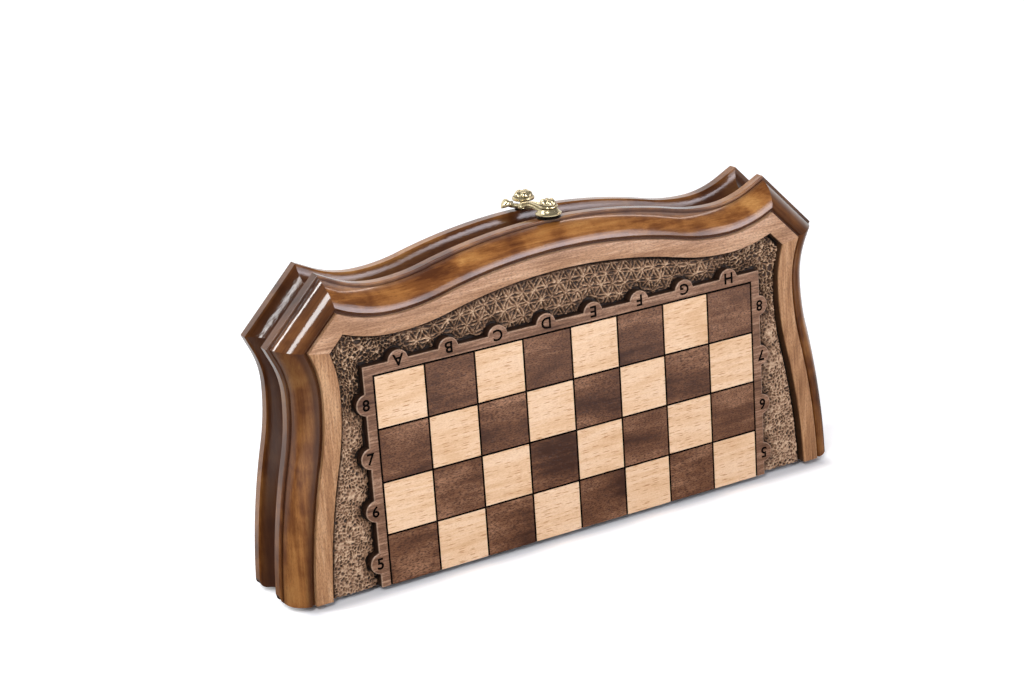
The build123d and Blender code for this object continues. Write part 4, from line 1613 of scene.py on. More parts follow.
@dataclass(frozen=True)
class PlayingBoard:
    """Raised board of each half, with its scorched edge, black lines and lettering."""

    board: BoardOutline = BoardOutline()
    rise: float = 4.8
    line_depth: float = 0.3
    arris: float = 0.3
    letter_height: float = 5.4
    letter_offset: float = 4.7
    letter_relief: float = 0.04

    def rim(self) -> Surface:
        """Border and tabs: a strip from the grid's edge to the outline, closed underneath.

        Returns:
            The closed rim of the front half.
        """
        outer, inner = self.board.around()
        step = np.roll(outer, -1, 0) - np.roll(outer, 1, 0)
        step[0], step[-1] = outer[1] - outer[0], outer[-1] - outer[-2]
        outward = np.stack([-step[:, 1], step[:, 0]], axis=-1)
        outward /= np.linalg.norm(outward, axis=1)[:, None]
        eased = outer - outward * self.arris
        beside = outer - outward * 2 * self.arris
        # Each line is (points, depth, staining, painted highlight): a pale painted highlight runs along
        # the eased outer edge, and the dark outer wall is scorching.
        lines = (
            (inner, self.rise, 1.0, 0.0), (inner, 0.0, 0.0, 0.0), (beside, 0.0, 0.0, 0.0),
            (eased, 0.0, 0.0, 0.55), (outer, self.arris, 0.3, 0.45), (outer, 0.7, 0.9, 0.0),
            (outer, self.rise, 1.0, 0.0),
        )
        edges, depth, stain, worn = (np.stack(column) for column in zip(*lines))
        x, z = edges.transpose(2, 1, 0)
        depth, stain, worn = (np.broadcast_to(row, x.shape) for row in (depth, stain, worn))
        return Surface.rings(np.stack([x, depth - HALF_DEPTH, z], -1), stain=stain, worn=worn)

    def bed(self) -> Surface:
        """Scorched bed under the squares, which shows as the black lines between them.

        Returns:
            A box that fills the grid.
        """
        outline = self.board.outline
        half = outline.grid_half + self.board.engraved_line / 2
        top = outline.grid_top + self.board.engraved_line / 2
        low = (-half, self.line_depth - HALF_DEPTH, outline.wood_bottom)
        return block(low, (half, self.rise - HALF_DEPTH, top))

    def build(self, finishes: Finishes) -> None:
        """Makes both boards, their squares' finish and their letters.

        Args:
            finishes: the materials.
        """
        rim, bed = self.rim(), self.bed()
        for half in Half:
            finishes.on_half(half, "playing_board_rim", rim, "board_border", "playing_board")
            finishes.on_half(half, "engraved_lines", bed, "lettering", "playing_board")
            finishes.dress(f"{half.prefix}_light_squares", "beech_squares")
            finishes.dress(f"{half.prefix}_dark_squares", "walnut_squares")
            self.lettering(finishes, half)

    def lettering(self, finishes: Finishes, half: Half) -> None:
        """Files along the top and ranks up both sides, each facing its own player.

        Args:
            finishes: the materials.
            half: the half that is lettered.
        """
        outline = self.board.outline
        front = half is Half.FRONT
        away = outline.grid_half + self.letter_offset
        over = outline.grid_top + self.letter_offset
        marks = [("ABCDEFGH"[i], x, over, True) for i, x in enumerate(self.board.tab_columns)]
        for i, height in enumerate(self.board.tab_heights):
            rank = str(outline.ranks + 1 + i if front else outline.ranks - i)
            marks.append((rank, -away, height, not front))
            marks.append((rank, away, height, front))
        glyphs = [self.glyph(half, *mark) for mark in marks]
        name = f"{half.prefix}_border_letters"
        piece = finishes.piece(name, joined(glyphs), "lettering", half.body)
        piece.data.polygons.foreach_set("use_smooth", np.zeros(len(piece.data.polygons), bool))

    def glyph(self, half: Half, text: str, x: float, z: float, upside_down: bool) -> Surface:
        """One letter as a thin solid, laid on the border.

        Args:
            half: the half that it is on.
            text: the letter.
            x: its middle along the board.
            z: its middle in height.
            upside_down: its top points down.

        Returns:
            The letter's surface in millimetres.
        """
        curve = bpy.data.curves.new("letter", "FONT")
        curve.body, curve.size = text, 1.0
        curve.extrude, curve.offset, curve.resolution_u = 0.01, 0.022, 4
        holder = set_down("letter", curve)
        shape = holder.evaluated_get(bpy.context.evaluated_depsgraph_get())
        mesh = bpy.data.meshes.new_from_object(shape)
        points = np.zeros(len(mesh.vertices) * 3)
        mesh.vertices.foreach_get("co", points)
        points = points.reshape(-1, 3)
        faces = [list(face.vertices) for face in mesh.polygons]
        bpy.data.objects.remove(holder)
        low, high = points.min(0), points.max(0)
        points = (points - (low + high) / 2) * self.letter_height / (high[1] - low[1])
        facing = -1.0 if half is Half.FRONT else 1.0
        up = -1.0 if upside_down else 1.0
        out = facing * (HALF_DEPTH + self.letter_relief * np.sign(points[:, 2]))
        placed = np.stack([x - facing * up * points[:, 0], out, z + up * points[:, 1]], axis=-1)
        return Surface(placed, np.zeros((0, 4), int), faces)


# Latch


@dataclass(frozen=True)
class Rosette:
    """Flower-shaped head: a saucer, a cup of pointed petals and a boss in the middle.

    Each ring is (share of the radius, share of the height, how much the petals shape it).
    """

    radius: float
    height: float
    petals: int = 6
    turn: float = 0.35
    droop: float = 0.0
    sides: int = 84
    swelling: float = 0.035
    rise: float = 0.05
    crease_depth: float = 0.06
    crease_width: float = 0.1
    rings: tuple[Place, ...] = (
        (0.30, 0.00, 0.0), (0.80, 0.00, 0.0), (0.96, 0.06, 0.1), (1.00, 0.14, 0.1),
        (0.97, 0.23, 0.1), (0.88, 0.29, 0.1), (0.81, 0.32, 0.3), (0.82, 0.42, 0.6),
        (0.80, 0.55, 0.8), (0.75, 0.68, 1.0), (0.66, 0.80, 1.0), (0.55, 0.89, 0.9),
        (0.45, 0.92, 0.6), (0.37, 0.88, 0.3), (0.31, 0.86, 0.1), (0.26, 0.91, 0.0),
        (0.18, 0.97, 0.0), (0.05, 1.00, 0.0),
    )

    def build(self, base: float) -> Surface:
        """Turns the rings and lets the petals swell by a wave and part by narrow creases.

        Args:
            base: height of the underside.

        Returns:
            A closed surface about the Z axis.
        """
        share, level, shaped = np.array(self.rings).T
        level = level - self.droop * (1 - smoothstep(0.0, 0.3, level))
        turns = (full_turn(self.sides) - self.turn) * self.petals / (2 * math.pi)
        wave = np.cos(2 * math.pi * turns)
        from_parting = np.mod(turns, 1) - 0.5
        crease = self.crease_depth * bell(from_parting, self.crease_width)
        weight = shaped[:, None]
        swell = self.radius * weight * (self.swelling * wave - crease)
        lift = self.height * weight * (self.rise * wave - crease)
        head = revolved(self.radius * share, base + self.height * level, self.sides, swell, lift)
        cup = 0.8 * bell(share - 0.34, 0.05) + bell(level - 0.32, 0.04)
        # Painted shade on the underside; the cup and the partings between petals take patina.
        under = level < 0.05 - self.droop
        hollow = (cup + under)[:, None] + 0.65 * bell(from_parting, 0.13) * (weight > 0.5)
        head.layers["hollow"] = np.clip(hollow, 0, 0.95).reshape(-1)
        return head


@dataclass(frozen=True)
class Latch:
    """Hook latch across the seam: pivot screw, washers, hook and catch pin."""

    crown_top: float = 150.4
    reach: float = 11.1
    washer_height: float = 1.5
    washer_radius: float = 5.6
    catch_washer_height: float = 1.2
    catch_washer_radius: float = 4.3
    clearance: float = 0.12
    eye_height: float = 3.0
    eye_radius: float = 6.0
    eye_rim: float = 0.8
    pin_radius: float = 1.5
    bore_clearance: float = 0.08
    neck_radius: float = 1.8
    neck_height: float = 4.6
    bill_radius: float = 4.05
    shank_end: float = -8.0
    flutes: int = 7
    tip_share: float = 0.06
    swing: float = 7.0
    pivot_rosette: Rosette = Rosette(4.55, 4.0, 6, 0.15)
    catch_rosette: Rosette = Rosette(5.25, 3.7, 5, -1.95, 0.22)

    def build(self, finishes: Finishes) -> None:
        """Makes the pieces in their places.

        Args:
            finishes: the materials.
        """
        pivot = Matrix.Translation((0.0, -self.reach, self.crown_top))
        catch = Matrix.Translation((0.0, self.reach, self.crown_top))
        rest = pivot @ Matrix.Translation((0.0, 0.0, self.washer_height + self.clearance))
        rest = rest @ Matrix.Rotation(math.radians(self.swing), 4, "Z")
        front, rear = Half.FRONT.body, Half.REAR.body
        brass, black = "antique_brass", "blackened_washer"
        washer = self.washer(self.washer_radius, self.washer_height)
        seat = self.washer(self.catch_washer_radius, self.catch_washer_height)
        for name, surface, place, finish, body, node in (
            ("latch_pivot_rosette", self.pivot_screw(), pivot, brass, front, "latch_pivot_screw"),
            ("latch_washer_ring", washer, pivot, black, front, "latch_washer"),
            ("latch_catch_rosette", self.catch_pin(), catch, brass, rear, "latch_catch_pin"),
            ("latch_catch_ring", seat, catch, black, rear, "latch_catch_washer"),
            ("latch_hook_arm", self.hook(), rest, brass, "latch_hook", "latch_hook"),
        ):
            finishes.piece(name, surface.moved(place), finish, body, node)

    def pivot_screw(self) -> Surface:
        """Rosette head on a plain shank."""
        under = self.washer_height + 2 * self.clearance + self.eye_height
        heights = np.array([self.shank_end, self.shank_end / 2, 0.0, under + 0.5])
        shank = revolved(np.full(4, self.pin_radius), heights, 32)
        return joined([self.pivot_rosette.build(under), shank])

    def catch_pin(self) -> Surface:
        """Wider rosette head on a waisted neck.

        Returns:
            Head and pin as two shells.
        """
        pin, neck, top = self.pin_radius, self.neck_radius, self.neck_height
        radii = np.array([pin, pin, neck, neck - 0.15, neck, 2.4])
        heights = np.array([self.shank_end, 1.1, 1.2, 2.9, 4.2, top + 0.3])
        stem = revolved(radii, heights, 36)
        # Painted shadow on the neck under the head.
        stem.layers["hollow"] = np.full(len(stem.points), 0.85)
        return joined([self.catch_rosette.build(top), stem])

    def washer(self, outer: float, high: float) -> Surface:
        """Stepped dark ring round a pin.

        Args:
            outer: radius.
            high: thickness.

        Returns:
            The ring, standing on height 0.
        """
        bore = self.pin_radius + self.bore_clearance
        radii = np.array([bore, outer - 0.5, outer, outer, outer - 0.4, outer - 0.8, bore])
        heights = np.array([0.0, 0.0, 0.25, 0.6, 0.85, high, high])
        return revolved(radii, heights, 48, ring=True)

    def hook(self) -> Surface:
        """Hook drawn closed about its pivot: conical eye, ridged arm, bill and leaf.

        Returns:
            Eye, arm, bill and leaf as four shells.
        """
        bore = self.pin_radius + self.bore_clearance
        rim, tall = self.eye_radius, self.eye_height
        radii = np.array([bore, rim - 0.5, rim, rim, rim - 0.3, 5.2, 4.7, 4.2, 3.8, bore])
        heights = np.array([0.0, 0.0, 0.2, 0.6, self.eye_rim, 1.15, 1.9, 2.7, tall, tall])
        eye = revolved(radii, heights, 64, ring=True)
        # Painted shade where the eye sits on the washer and under the rosette's saucer.
        eye.layers["hollow"] = np.repeat([0.9, 0.7, 0.2, 0.0, 0.0, 0.1, 0.15, 0.4, 0.8, 0.9], 64)
        arm = [
            (0.2, 2.6), (0.0, 5.5), (-0.2, 8.6), (-0.6, 11.4), (-1.7, 13.9), (-3.4, 15.4), (-5.0, 15.9),
        ]
        turns = np.radians([225, 200, 172, 145, 120, 100])
        round_neck = self.bill_radius * np.stack([np.cos(turns), np.sin(turns)], -1)
        bill = [(-0.9, 12.6), (-2.0, 15.6), *(round_neck + (0.0, 2 * self.reach))]
        arm = self.strip(smooth_line(arm, 10), (2.6, 2.1), 2.5, 0.13, 0.0, 1.2)
        # The bill is darkened all over as painted shadow under the catch's rosette.
        bill = self.strip(smooth_line(bill, 7), (1.5, 1.4), 1.9, 0.04, 0.6)
        return joined([eye, arm, bill, self.leaf()])

    def strip(
        self, line: Array, widths: Point, tall: float, ridge: float, shade_all_over: float, arch: float = 0.0
    ) -> Surface:
        """Fluted bar with a round end.

        The section is a flattened oval whose size swells seven times round it by a cosine. The
        width closes towards the end as a half circle does.

        Args:
            line: middle line in plan.
            widths: half width at the start and at the end.
            tall: thickness.
            ridge: share of the size by which the ridges swell.
            shade_all_over: painted shade everywhere on the bar.
            arch: rise of the middle over the ends, as half a sine wave along the bar.

        Returns:
            A closed surface standing on height 0.
        """
        step = np.gradient(line, axis=0)
        step /= np.linalg.norm(step, axis=1)[:, None]
        side = np.stack([-step[:, 1], step[:, 0]], axis=-1)
        run = np.concatenate([[0.0], np.cumsum(np.linalg.norm(np.diff(line, axis=0), axis=1))])
        width = widths[0] + (widths[1] - widths[0]) * smoothstep(0.0, 0.7, run / run[-1])
        to_end = np.clip((run[-1] - run) / widths[1], 0, 1)
        close = np.sqrt(np.clip(1 - (1 - to_end) ** 2, 0.0, 1)) * (1 - self.tip_share)
        close = close + self.tip_share
        turn = full_turn(56)
        across = np.sign(np.cos(turn)) * np.abs(np.cos(turn)) ** 0.8
        upper = np.maximum(np.sin(turn), 0)
        lift = np.sign(np.sin(turn)) * np.abs(np.sin(turn)) ** 0.6
        width, close, run = width[:, None], close[:, None], run[:, None]
        flutes = np.cos(self.flutes * turn) * close
        height = tall / 2 * (1 + (lift + ridge * flutes * upper) * (0.35 + 0.65 * close))
        height = height + arch * np.sin(math.pi * run / run[-1])
        reach = width * close * across * (1 + ridge * flutes)
        places = line[:, None, :] + side[:, None, :] * reach[..., None]
        points = np.concatenate([places, height[..., None]], axis=-1)
        hollow = np.clip(-flutes, 0, 1) * 0.9 * (ridge > 0.05)
        return Surface.rings(points, hollow=np.maximum(hollow, shade_all_over))

    def leaf(self) -> Surface:
        """Leaf for the finger outside the bill, curling up clear of the catch and down to its tip.

        Each section is an oval. Knots along the leaf give its distance from the catch, half
        width, middle height and half thickness.

        Returns:
            The leaf in the hook's own place.
        """
        knots = [
            (3.6, 1.5, 0.95, 0.8), (5.0, 2.3, 0.95, 0.8), (5.9, 2.9, 1.8, 1.25),
            (6.6, 3.1, 2.7, 1.75), (7.6, 2.7, 2.5, 1.6), (8.8, 1.7, 1.7, 1.1), (9.8, 0.4, 0.9, 0.3),
        ]
        away, wide, middle, thick = smooth_line(knots, 5).T[..., None]
        spin = full_turn(36)
        beside = wide * np.cos(spin)
        z = middle + thick * np.sin(spin) - 0.35 * (beside / 2.5) ** 2
        x = np.broadcast_to(-away, z.shape)
        points = np.stack([x, 2 * self.reach + 0.1 + beside, z], axis=-1)
        # Painted shadow darkens the leaf's root under the catch's saucer.
        return Surface.rings(points, hollow=np.broadcast_to(1 - smoothstep(4.2, 5.6, away), z.shape))


# Hinges


@dataclass(frozen=True)
class Hinges:
    """Butt hinges under the bottom rails, with slotted countersunk screws."""

    spread: float = 140.0
    screw_spacing: float = 18.0
    screw_inset: float = 9.0
    seat: float = 1.6
    head_radius: float = 1.8
    shank_radius: float = 0.9
    length: float = 7.0
    slot_half: float = 0.22
    slot_depth: float = 0.45
    slot_turns: Place = (0.6, 1.3, 2.1)
    sides: int = 48

    def screw(self) -> Surface:
        """The screw with its slot darkened in the hollow layer.

        The face is rings of points that sink by the slot's depth within its half width.

        Returns:
            The screw with its slot marked as hollow.
        """
        shank = self.shank_radius
        radii = np.array([0.1, 0.5, 0.9, 1.3, 1.6, self.head_radius, shank, shank, 0.1])
        heights = np.array([0.0] * 6 + [1.0, self.length - 1.5, self.length])
        off_slot = np.abs(radii[:, None] * np.sin(full_turn(self.sides)))
        in_slot = (off_slot < self.slot_half) & (heights[:, None] == 0)
        screw = revolved(radii, heights, self.sides, lift=self.slot_depth * in_slot)
        screw.layers["hollow"] = 0.9 * in_slot.reshape(-1)
        return screw

    def build(self, finishes: Finishes) -> None:
        """Dresses the leaves and pins, and puts in the screws.

        Args:
            finishes: the materials.
        """
        screw = self.screw()
        start, per_hinge, per_screw = self.slot_turns
        for half, side in ((Half.FRONT, -1.0), (Half.REAR, 1.0)):
            screws = []
            for i, middle in enumerate((-self.spread / 2, self.spread / 2)):
                for j, step in enumerate((-0.5, 0.5)):
                    place = (middle + step * self.screw_spacing, side * self.screw_inset, self.seat)
                    angle = start + per_hinge * i + per_screw * j + side
                    turn = Matrix.Rotation(angle, 4, "Z")
                    screws.append(screw.moved(Matrix.Translation(place) @ turn))
            name, node = f"{half.prefix}_slotted_screws", f"{half.prefix}_hinge_screws"
            finishes.piece(name, joined(screws), "screw_brass", half.body, node)
        for side in ("left", "right"):
            for part in ("rear_leaf", "front_leaf", "pin"):
                finishes.dress(f"{side}_hinge_{part}", "pin_steel" if part == "pin" else "hinge_brass")


# Chessmen


class Man(Enum):
    """Kinds of chessmen, with height and base diameter in millimetres."""

    KING = (46.0, 15.6)
    QUEEN = (42.0, 15.0)
    BISHOP = (37.0, 15.0)
    KNIGHT = (33.0, 15.0)
    ROOK = (29.0, 15.0)
    PAWN = (27.0, 13.8)

    @property
    def tall(self) -> float:
        """Height of the piece."""
        return self.value[0]

    @property
    def base(self) -> float:
        """Radius of the base."""
        return self.value[1] / 2


@dataclass(frozen=True)
class Chessmen:
    """Turned chessmen lying in the slots of their trays."""

    sides: int = 32
    tray_floor_depth: float = 8.2
    clearance: float = 0.3
    slot_pitch: float = 28.35
    pawn_seat: float = 14.8
    officer_seat: float = 57.65
    knight_thickness: float = 5.2
    least_radius: float = 0.08

    @staticmethod
    def plinth(base: float) -> list[Point]:
        """Knots of radius and height that every man begins with."""
        return [
            (base * 0.96, 0.0), (base, 0.3), (base, 1.3), (base * 0.93, 1.8), (base * 0.9, 2.3),
        ]

    def foot(self, base: float, tall: float, collar: float) -> list[Point]:
        """Knots that the turned men share: plinth, waist and collar.

        Args:
            base: radius of the base.
            tall: height of the man.
            collar: height of the collar.

        Returns:
            The knots from the bottom up.
        """
        return self.plinth(base) + [
            (base * 0.74, 3.2), (base * 0.62, 4.4), (base * 0.46, 0.3 * tall),
            (base * 0.36, collar - 3.4), (base * 0.4, collar - 2.2), (base * 0.66, collar - 1.2),
            (base * 0.68, collar - 0.6), (base * 0.42, collar), (base * 0.4, collar + 0.8),
        ]

    def turned(self, knots: list[Point]) -> Surface:
        """Lathe-turned body through knots of radius and height, each radius kept above 0."""
        line = smooth_line(knots, 3)
        return revolved(np.maximum(line[:, 0], self.least_radius), line[:, 1], self.sides)

    def shape(self, man: Man) -> Surface:
        """One man standing at the origin.

        Args:
            man: the kind of man.

        Returns:
            The man's surface.
        """
        make = {
            Man.PAWN: self.pawn, Man.ROOK: self.rook, Man.KNIGHT: self.knight,
            Man.BISHOP: self.bishop, Man.QUEEN: self.queen, Man.KING: self.king,
        }
        return make[man](man.base, man.tall)

    def pawn(self, base: float, tall: float) -> Surface:
        """Ball on a collar.

        Args:
            base: radius of the base.
            tall: height of the man.

        Returns:
            The man's surface.
        """
        ball = 0.19 * tall
        turns = np.linspace(-1.0, math.pi / 2, 9)
        head = [(ball * math.cos(a), tall - ball + ball * math.sin(a)) for a in turns]
        return self.turned(self.foot(base, tall, 0.62 * tall) + head)

    def bishop(self, base: float, tall: float) -> Surface:
        """Pointed cap with a bead on top.

        Args:
            base: radius of the base.
            tall: height of the man.

        Returns:
            The man's surface.
        """
        collar = 0.62 * tall
        head = [
            (base * 0.52, collar + 3.0), (base * 0.58, collar + 5.4), (base * 0.44, tall - 4.6),
            (base * 0.2, tall - 2.4), (base * 0.14, tall - 1.9), (base * 0.16, tall - 0.9), (0.1, tall),
        ]
        return self.turned(self.foot(base, tall, collar) + head)

    def rook(self, base: float, tall: float) -> Surface:
        """Tower whose rim drops by a notch at every crenel.

        Args:
            base: radius of the base.
            tall: height of the man.

        Returns:
            The man's surface.
        """
        neck = [(base * 0.44, 0.7 * tall), (base * 0.72, 0.77 * tall), (base * 0.74, 0.84 * tall)]
        rim = [(base * 0.76, tall), (base * 0.5, tall), (base * 0.48, 0.84 * tall), (0.1, 0.83 * tall)]
        line = np.vstack([smooth_line(self.foot(base, tall, 0.72 * tall)[:9] + neck, 3), rim])
        on_rim = line[:, 1:] == tall
        in_notch = np.abs(np.mod(full_turn(self.sides) * 4 / (2 * math.pi), 1) - 0.5) < 0.16
        return revolved(line[:, 0], line[:, 1], self.sides, lift=-2.4 * on_rim * in_notch)

    def queen(self, base: float, tall: float) -> Surface:
        """Flared coronet with scallops, and a small ball.

        Args:
            base: radius of the base.
            tall: height of the man.

        Returns:
            The man's surface.
        """
        collar, crown = 0.66 * tall, 0.93 * tall
        knots = self.foot(base, tall, collar) + [
            (base * 0.46, collar + 3.0), (base * 0.72, crown - 0.6), (base * 0.68, crown),
            (base * 0.36, crown - 0.7), (base * 0.16, crown), (base * 0.2, crown + 1.3), (0.1, tall),
        ]
        line = smooth_line(knots, 3)
        reach = smoothstep(collar + 3, crown, line[:, 1:]) * (line[:, :1] > base * 0.6)
        wave = np.cos(8 * full_turn(self.sides)) * reach
        radii = np.maximum(line[:, 0], self.least_radius)
        return revolved(radii, line[:, 1], self.sides, 0.25 * wave, 0.5 * wave)

    def king(self, base: float, tall: float) -> Surface:
        """Domed crown with a plain cross.

        Args:
            base: radius of the base.
            tall: height of the man.

        Returns:
            The man's surface.
        """
        collar, crown = 0.62 * tall, 0.86 * tall
        knots = self.foot(base, tall, collar) + [
            (base * 0.46, collar + 3.0), (base * 0.64, crown - 2.4), (base * 0.62, crown - 1.6),
            (base * 0.4, crown - 0.9), (base * 0.2, crown), (base * 0.16, crown + 0.5),
        ]
        upright = block((-0.8, -0.8, crown), (0.8, 0.8, tall))
        arms = block((-2.4, -0.8, crown + 2.2), (2.4, 0.8, crown + 3.8))
        return joined([self.turned(knots), upright, arms])

    def knight(self, base: float, tall: float) -> Surface:
        """Horse's head: a closed outline whose edges are rounded over the thickness of the wood.

        The section across the thickness is a half oval, so that the outline shrinks towards its
        own middle line by 1 - sqrt(1 - t^2) of the rounding as t goes from -1 to 1.

        Args:
            base: radius of the base.
            tall: height.

        Returns:
            The head on its plinth.
        """
        knots = [
            (-0.60, 0.20), (-0.78, 0.36), (-0.76, 0.58), (-0.52, 0.80), (-0.30, 0.93), (-0.16, 1.0),
            (-0.02, 0.93), (0.2, 0.9), (0.56, 0.80), (0.90, 0.70), (0.86, 0.62), (0.60, 0.61),
            (0.28, 0.64), (0.16, 0.55), (0.40, 0.40), (0.62, 0.20),
        ]
        loop = smooth_line(knots + knots[:1], 4)[:-1] * np.array([base, tall])
        step = np.roll(loop, -1, 0) - np.roll(loop, 1, 0)
        inward = np.stack([step[:, 1], -step[:, 0]], -1) / np.linalg.norm(step, axis=1)[:, None]
        t = np.linspace(-1, 1, 9)[:, None]
        shrink = 1.3 * (1 - np.sqrt(1 - t**2))
        x, z = (loop + inward * shrink[..., None]).transpose(2, 0, 1)
        depth = np.broadcast_to(t * self.knight_thickness / 2, x.shape)
        neck = [
            (base * 0.72, 3.2), (base * 0.62, 5.0), (base * 0.76, 7.0), (base * 0.5, 7.8), (0.1, 8.0),
        ]
        foot = self.turned(self.plinth(base) + neck)
        return joined([Surface.rings(np.stack([x, depth, z], -1)), foot])

    def build(self, finishes: Finishes) -> None:
        """Lays the sixteen men of each colour in their half's tray.

        Args:
            finishes: the materials.
        """
        wing = [Man.ROOK, Man.KNIGHT, Man.BISHOP]
        first_rank = [*wing, Man.QUEEN, Man.KING, *reversed(wing)]
        for half in Half:
            for column, man in enumerate(first_rank):
                side = ("queenside_" if column < 4 else "kingside_") if man in wing else ""
                self.lay(finishes, half, side + man.name.lower(), man, [column], self.officer_seat)
            self.lay(finishes, half, "pawns", Man.PAWN, list(range(8)), self.pawn_seat)

    def lay(
        self, finishes: Finishes, half: Half, name: str, man: Man, columns: list[int], seat: float
    ) -> None:
        """Puts men of one kind into their slots as one piece.

        Args:
            finishes: the materials.
            half: the half whose tray they lie in.
            name: name of the CAD node after its colour.
            man: the kind.
            columns: slots that they lie in, from left to right.
            seat: height at which they stand.
        """
        depth = self.tray_floor_depth + self.clearance + man.base - HALF_DEPTH
        places = [(self.slot_pitch * (column - 3.5), depth, seat) for column in columns]
        laid = joined([self.shape(man).moved(Matrix.Translation(place)) for place in places])
        node = f"{half.men}_{name}"
        finishes.piece(node + "_turned", laid.on_half(half), f"{half.men}_turned", half.body, node)


@dataclass(frozen=True)
class Inside:
    """Bottom rails and trays, which keep their CAD shapes."""

    finish_of: tuple[tuple[str, str], ...] = (
        ("bottom_rail", "hinge_rail_wood"),
        ("tray_base", "tray_cloth"),
        ("tray_strips", "tray_strip_wood"),
    )

    def build(self, finishes: Finishes) -> None:
        """Dresses the CAD nodes of both halves."""
        for half in Half:
            for node, finish in self.finish_of:
                finishes.dress(f"{half.prefix}_{node}", finish)


# Studio


@dataclass(frozen=True)
class Softbox:
    """A rectangular lamp that faces a point."""

    name: str
    place: Place
    target: Place
    size: Point
    power: float
    colour: Rgb = (255, 255, 255)
    lights: bool = True
    mirrored: bool = True


@dataclass(frozen=True)
class Studio:
    """White sweep, soft lamps and the camera at the photograph's angle."""

    focal_pixels: float = 2235.55
    image_width: float = 1024.0
    camera_place: Place = (-485.9, -852.6, 421.6)
    camera_right: Place = (0.86352, -0.50006, -0.06540)
    camera_up: Place = (0.21465, 0.24709, 0.94492)
    ambient: float = 0.26
    room_levels: Point = (0.12, 1.0)
    white: Rgba = (1.0, 1.0, 1.0, 1.0)
    floor_reach: float = 6.0
    floor_glow: Point = (0.5, 1.0)
    floor_shine: Place = (0.1, 0.95, 0.8)
    glow_reach: Point = (0.3, 1.6)
    shine_in_front: Point = (-0.05, -0.4)
    shine_behind: Point = (-0.05, 0.15)
    foot_shade: float = 0.011
    footprint: Place = (0.137, 0.0235, 0.0)
    front_marks: tuple[tuple[str, Place], ...] = (
        ("front_top_mark", (0.0, -24.5, 159.14)),
        ("front_bottom_mark", (0.0, -24.5, 2.6)),
    )
    lamps: tuple[Softbox, ...] = (
        Softbox("front_right", (520, -960, 430), (0, 0, 70), (680, 720), 6.2, (248, 246, 255)),
        Softbox(
            "front_sheen", (500, -930, 470), (0, 0, 150), (420, 300), 1.5, (250, 244, 255), lights=False
        ),
        Softbox("back_fill", (-420, 1150, 480), (0, 0, 70), (900, 700), 4.0, mirrored=False),
        Softbox("back_line", (456, 556, 850), (0, 0, 150), (1250, 70), 1.5, (255, 236, 226)),
        Softbox("left_above", (-560, -590, 800), (-90, 0, 110), (290, 440), 6.2),
        Softbox("left_behind", (-620, 210, 760), (-90, 0, 110), (90, 420), 2.4),
    )

    def build(self) -> None:
        """Makes the world, the floor, the lamps and the camera."""
        self.world()
        self.floor()
        for lamp in self.lamps:
            self.lamp(lamp)
        self.camera()
        bpy.context.scene.view_settings.view_transform = "Standard"

    def world(self) -> None:
        """White to the camera, and a plain level for the light it gives.

        Reflections see the white backdrop behind and low down, and a dimmer room overhead and
        towards the front, by the direction's Y less half its Z.
        """
        s = Shader("studio", world=True)
        rays = s.add("LightPath")
        axes = s.add("SeparateXYZ", {0: s.add("TexCoord").outputs["Generated"]}).outputs
        room = s.span(s.sum(s.times(axes["Z"], -0.5), axes["Y"]), -0.3, 0.5, self.room_levels)
        level = s.blend(self.seen(s, rays), self.ambient, room)
        level = s.blend(rays.outputs["Is Camera Ray"], level, 1.0)
        bpy.context.scene.world = s.close(s.add("Background", {"Color": self.white, "Strength": level}))

    @staticmethod
    def seen(s: Shader, rays: bpy.types.Node) -> Socket:
        """1 for the rays that look at the background rather than light something.

        Args:
            s: the nodes.
            rays: the Light Path node.

        Returns:
            1 or 0.
        """
        names = ("Is Camera Ray", "Is Glossy Ray", "Is Transmission Ray")
        camera, glossy, through = (rays.outputs[name] for name in names)
        return s.calc("MAXIMUM", s.calc("MAXIMUM", camera, glossy), through)

    def floor(self) -> None:
        """Pale floor that keeps the object's shadow, white where nothing shades it.

        Its painted glow grows outwards, so that the floor meets the backdrop without an edge, and
        stops under the case as a painted shadow. In reflections the floor is dimmer in front of the
        case than behind it, as painted shade.
        """
        mesh = bpy.data.meshes.new("floor")
        r = self.floor_reach
        mesh.from_pydata([(-r, -r, 0.0), (r, -r, 0.0), (r, r, 0.0), (-r, r, 0.0)], [], [(0, 1, 2, 3)])
        floor = set_down("floor", mesh)
        s = Shader("white_floor")
        rays = s.add("LightPath")
        raw = s.add("TexCoord").outputs["Object"]
        depth = s.add("SeparateXYZ", {0: raw}).outputs["Y"]
        near, far, behind = self.floor_shine
        in_front = s.span(depth, *self.shine_in_front, (near, far))
        dimmed = s.calc("MAXIMUM", in_front, s.span(depth, *self.shine_behind, (0.0, behind)))
        past = s.vector("SUBTRACT", s.vector("ABSOLUTE", raw), self.footprint)
        past = s.size(s.vector("MAXIMUM", past))
        glow = s.span(s.size(raw), *self.glow_reach, self.floor_glow)
        # Painted shadow: no glow within the case's footprint.
        glow = s.times(glow, s.span(past, 0.0, self.foot_shade))
        lit = s.add("Emission", {"Color": self.white, "Strength": glow}).outputs[0]
        dim = s.add("Emission", {"Color": self.white, "Strength": dimmed}).outputs[0]
        matte = s.add("BsdfDiffuse", {"Color": (0.8, 0.8, 0.8, 1.0)}).outputs[0]
        white = s.add("BsdfDiffuse", {"Color": (0.8, 0.81, 0.84, 1.0)}).outputs[0]
        both = s.add("AddShader", {0: lit, 1: white}).outputs[0]
        mirrored = s.add("MixShader", {0: self.seen(s, rays), 1: matte, 2: dim}).outputs[0]
        below = s.add("NewGeometry").outputs["Backfacing"]
        clear = s.add("BsdfTransparent").outputs[0]
        shown = s.add("MixShader", {0: below, 1: both, 2: clear}).outputs[0]
        choice = {0: rays.outputs["Is Camera Ray"], 1: mirrored, 2: shown}
        mesh.materials.append(s.close(s.add("MixShader", choice)))
        self.lower(floor)

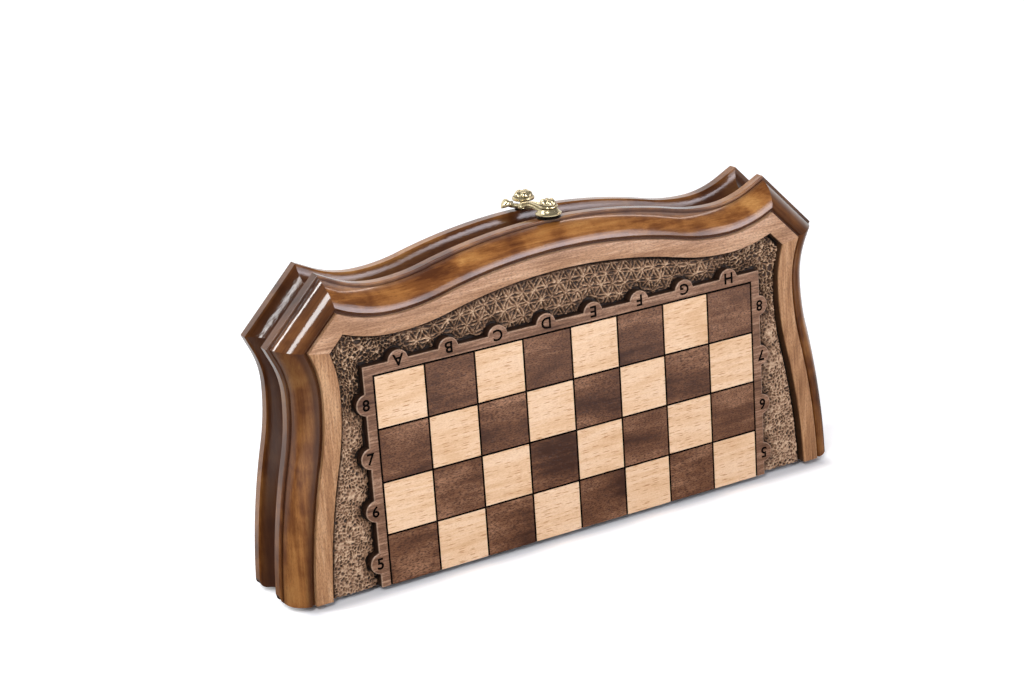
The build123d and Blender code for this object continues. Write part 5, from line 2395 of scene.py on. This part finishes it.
    def lower(self, floor: bpy.types.Object) -> None:
        """Keeps the floor under the front half as that swings down below the rear half's foot.

        Two marks ride on the front half, at the top and at the bottom of its playing face, and
        the floor may not stand higher than either.

        Args:
            floor: the floor's object.
        """
        for name, place in self.front_marks:
            mark = set_down(name, None)
            mark.parent = frame["bodies"][Half.FRONT.body]
            mark.location = Vector(place) * MM
            limit = floor.constraints.new("FLOOR")
            limit.target = mark
            limit.floor_location = "FLOOR_NEGATIVE_Z"

    @staticmethod
    def lamp(lamp: Softbox) -> None:
        """Adds one soft lamp.

        Args:
            lamp: its place, size and power.
        """
        data = bpy.data.lights.new(lamp.name, "AREA")
        data.shape = "RECTANGLE"
        data.size, data.size_y = lamp.size[0] * MM, lamp.size[1] * MM
        data.energy = lamp.power
        data.color = linear(lamp.colour)[:3]
        holder = set_down(lamp.name, data)
        place, target = Vector(lamp.place) * MM, Vector(lamp.target) * MM
        holder.visible_diffuse, holder.visible_glossy = lamp.lights, lamp.mirrored
        holder.location = place
        holder.rotation_mode = "QUATERNION"
        holder.rotation_quaternion = (target - place).to_track_quat("-Z", "Y")

    def camera(self) -> None:
        """Camera at the photograph's place, turned and rolled as it was."""
        data = bpy.data.cameras.new("photo_camera")
        data.sensor_width = 36.0
        data.lens = self.focal_pixels / self.image_width * data.sensor_width
        data.clip_start, data.clip_end = 0.05, 40.0
        camera = set_down("photo_camera", data)
        right, up = Vector(self.camera_right).normalized(), Vector(self.camera_up)
        back = right.cross(up).normalized()
        up = back.cross(right)
        turn = Matrix((right, up, back)).transposed().to_4x4()
        camera.matrix_world = Matrix.Translation(Vector(self.camera_place) * MM) @ turn
        bpy.context.scene.camera = camera


def main() -> None:
    """Builds the finishes, the case, its contents and the studio, in that order."""
    logging.basicConfig(level=logging.INFO, format="%(name)s: %(message)s")
    finishes = Finishes()
    for assembly in (
        FrameMoulding(), CarvedPanel(), PlayingBoard(), Inside(), Latch(), Hinges(), Chessmen(),
    ):
        log.info("building %s", type(assembly).__name__)
        assembly.build(finishes)
    Studio().build()


if __name__ == "__main__":
    main()
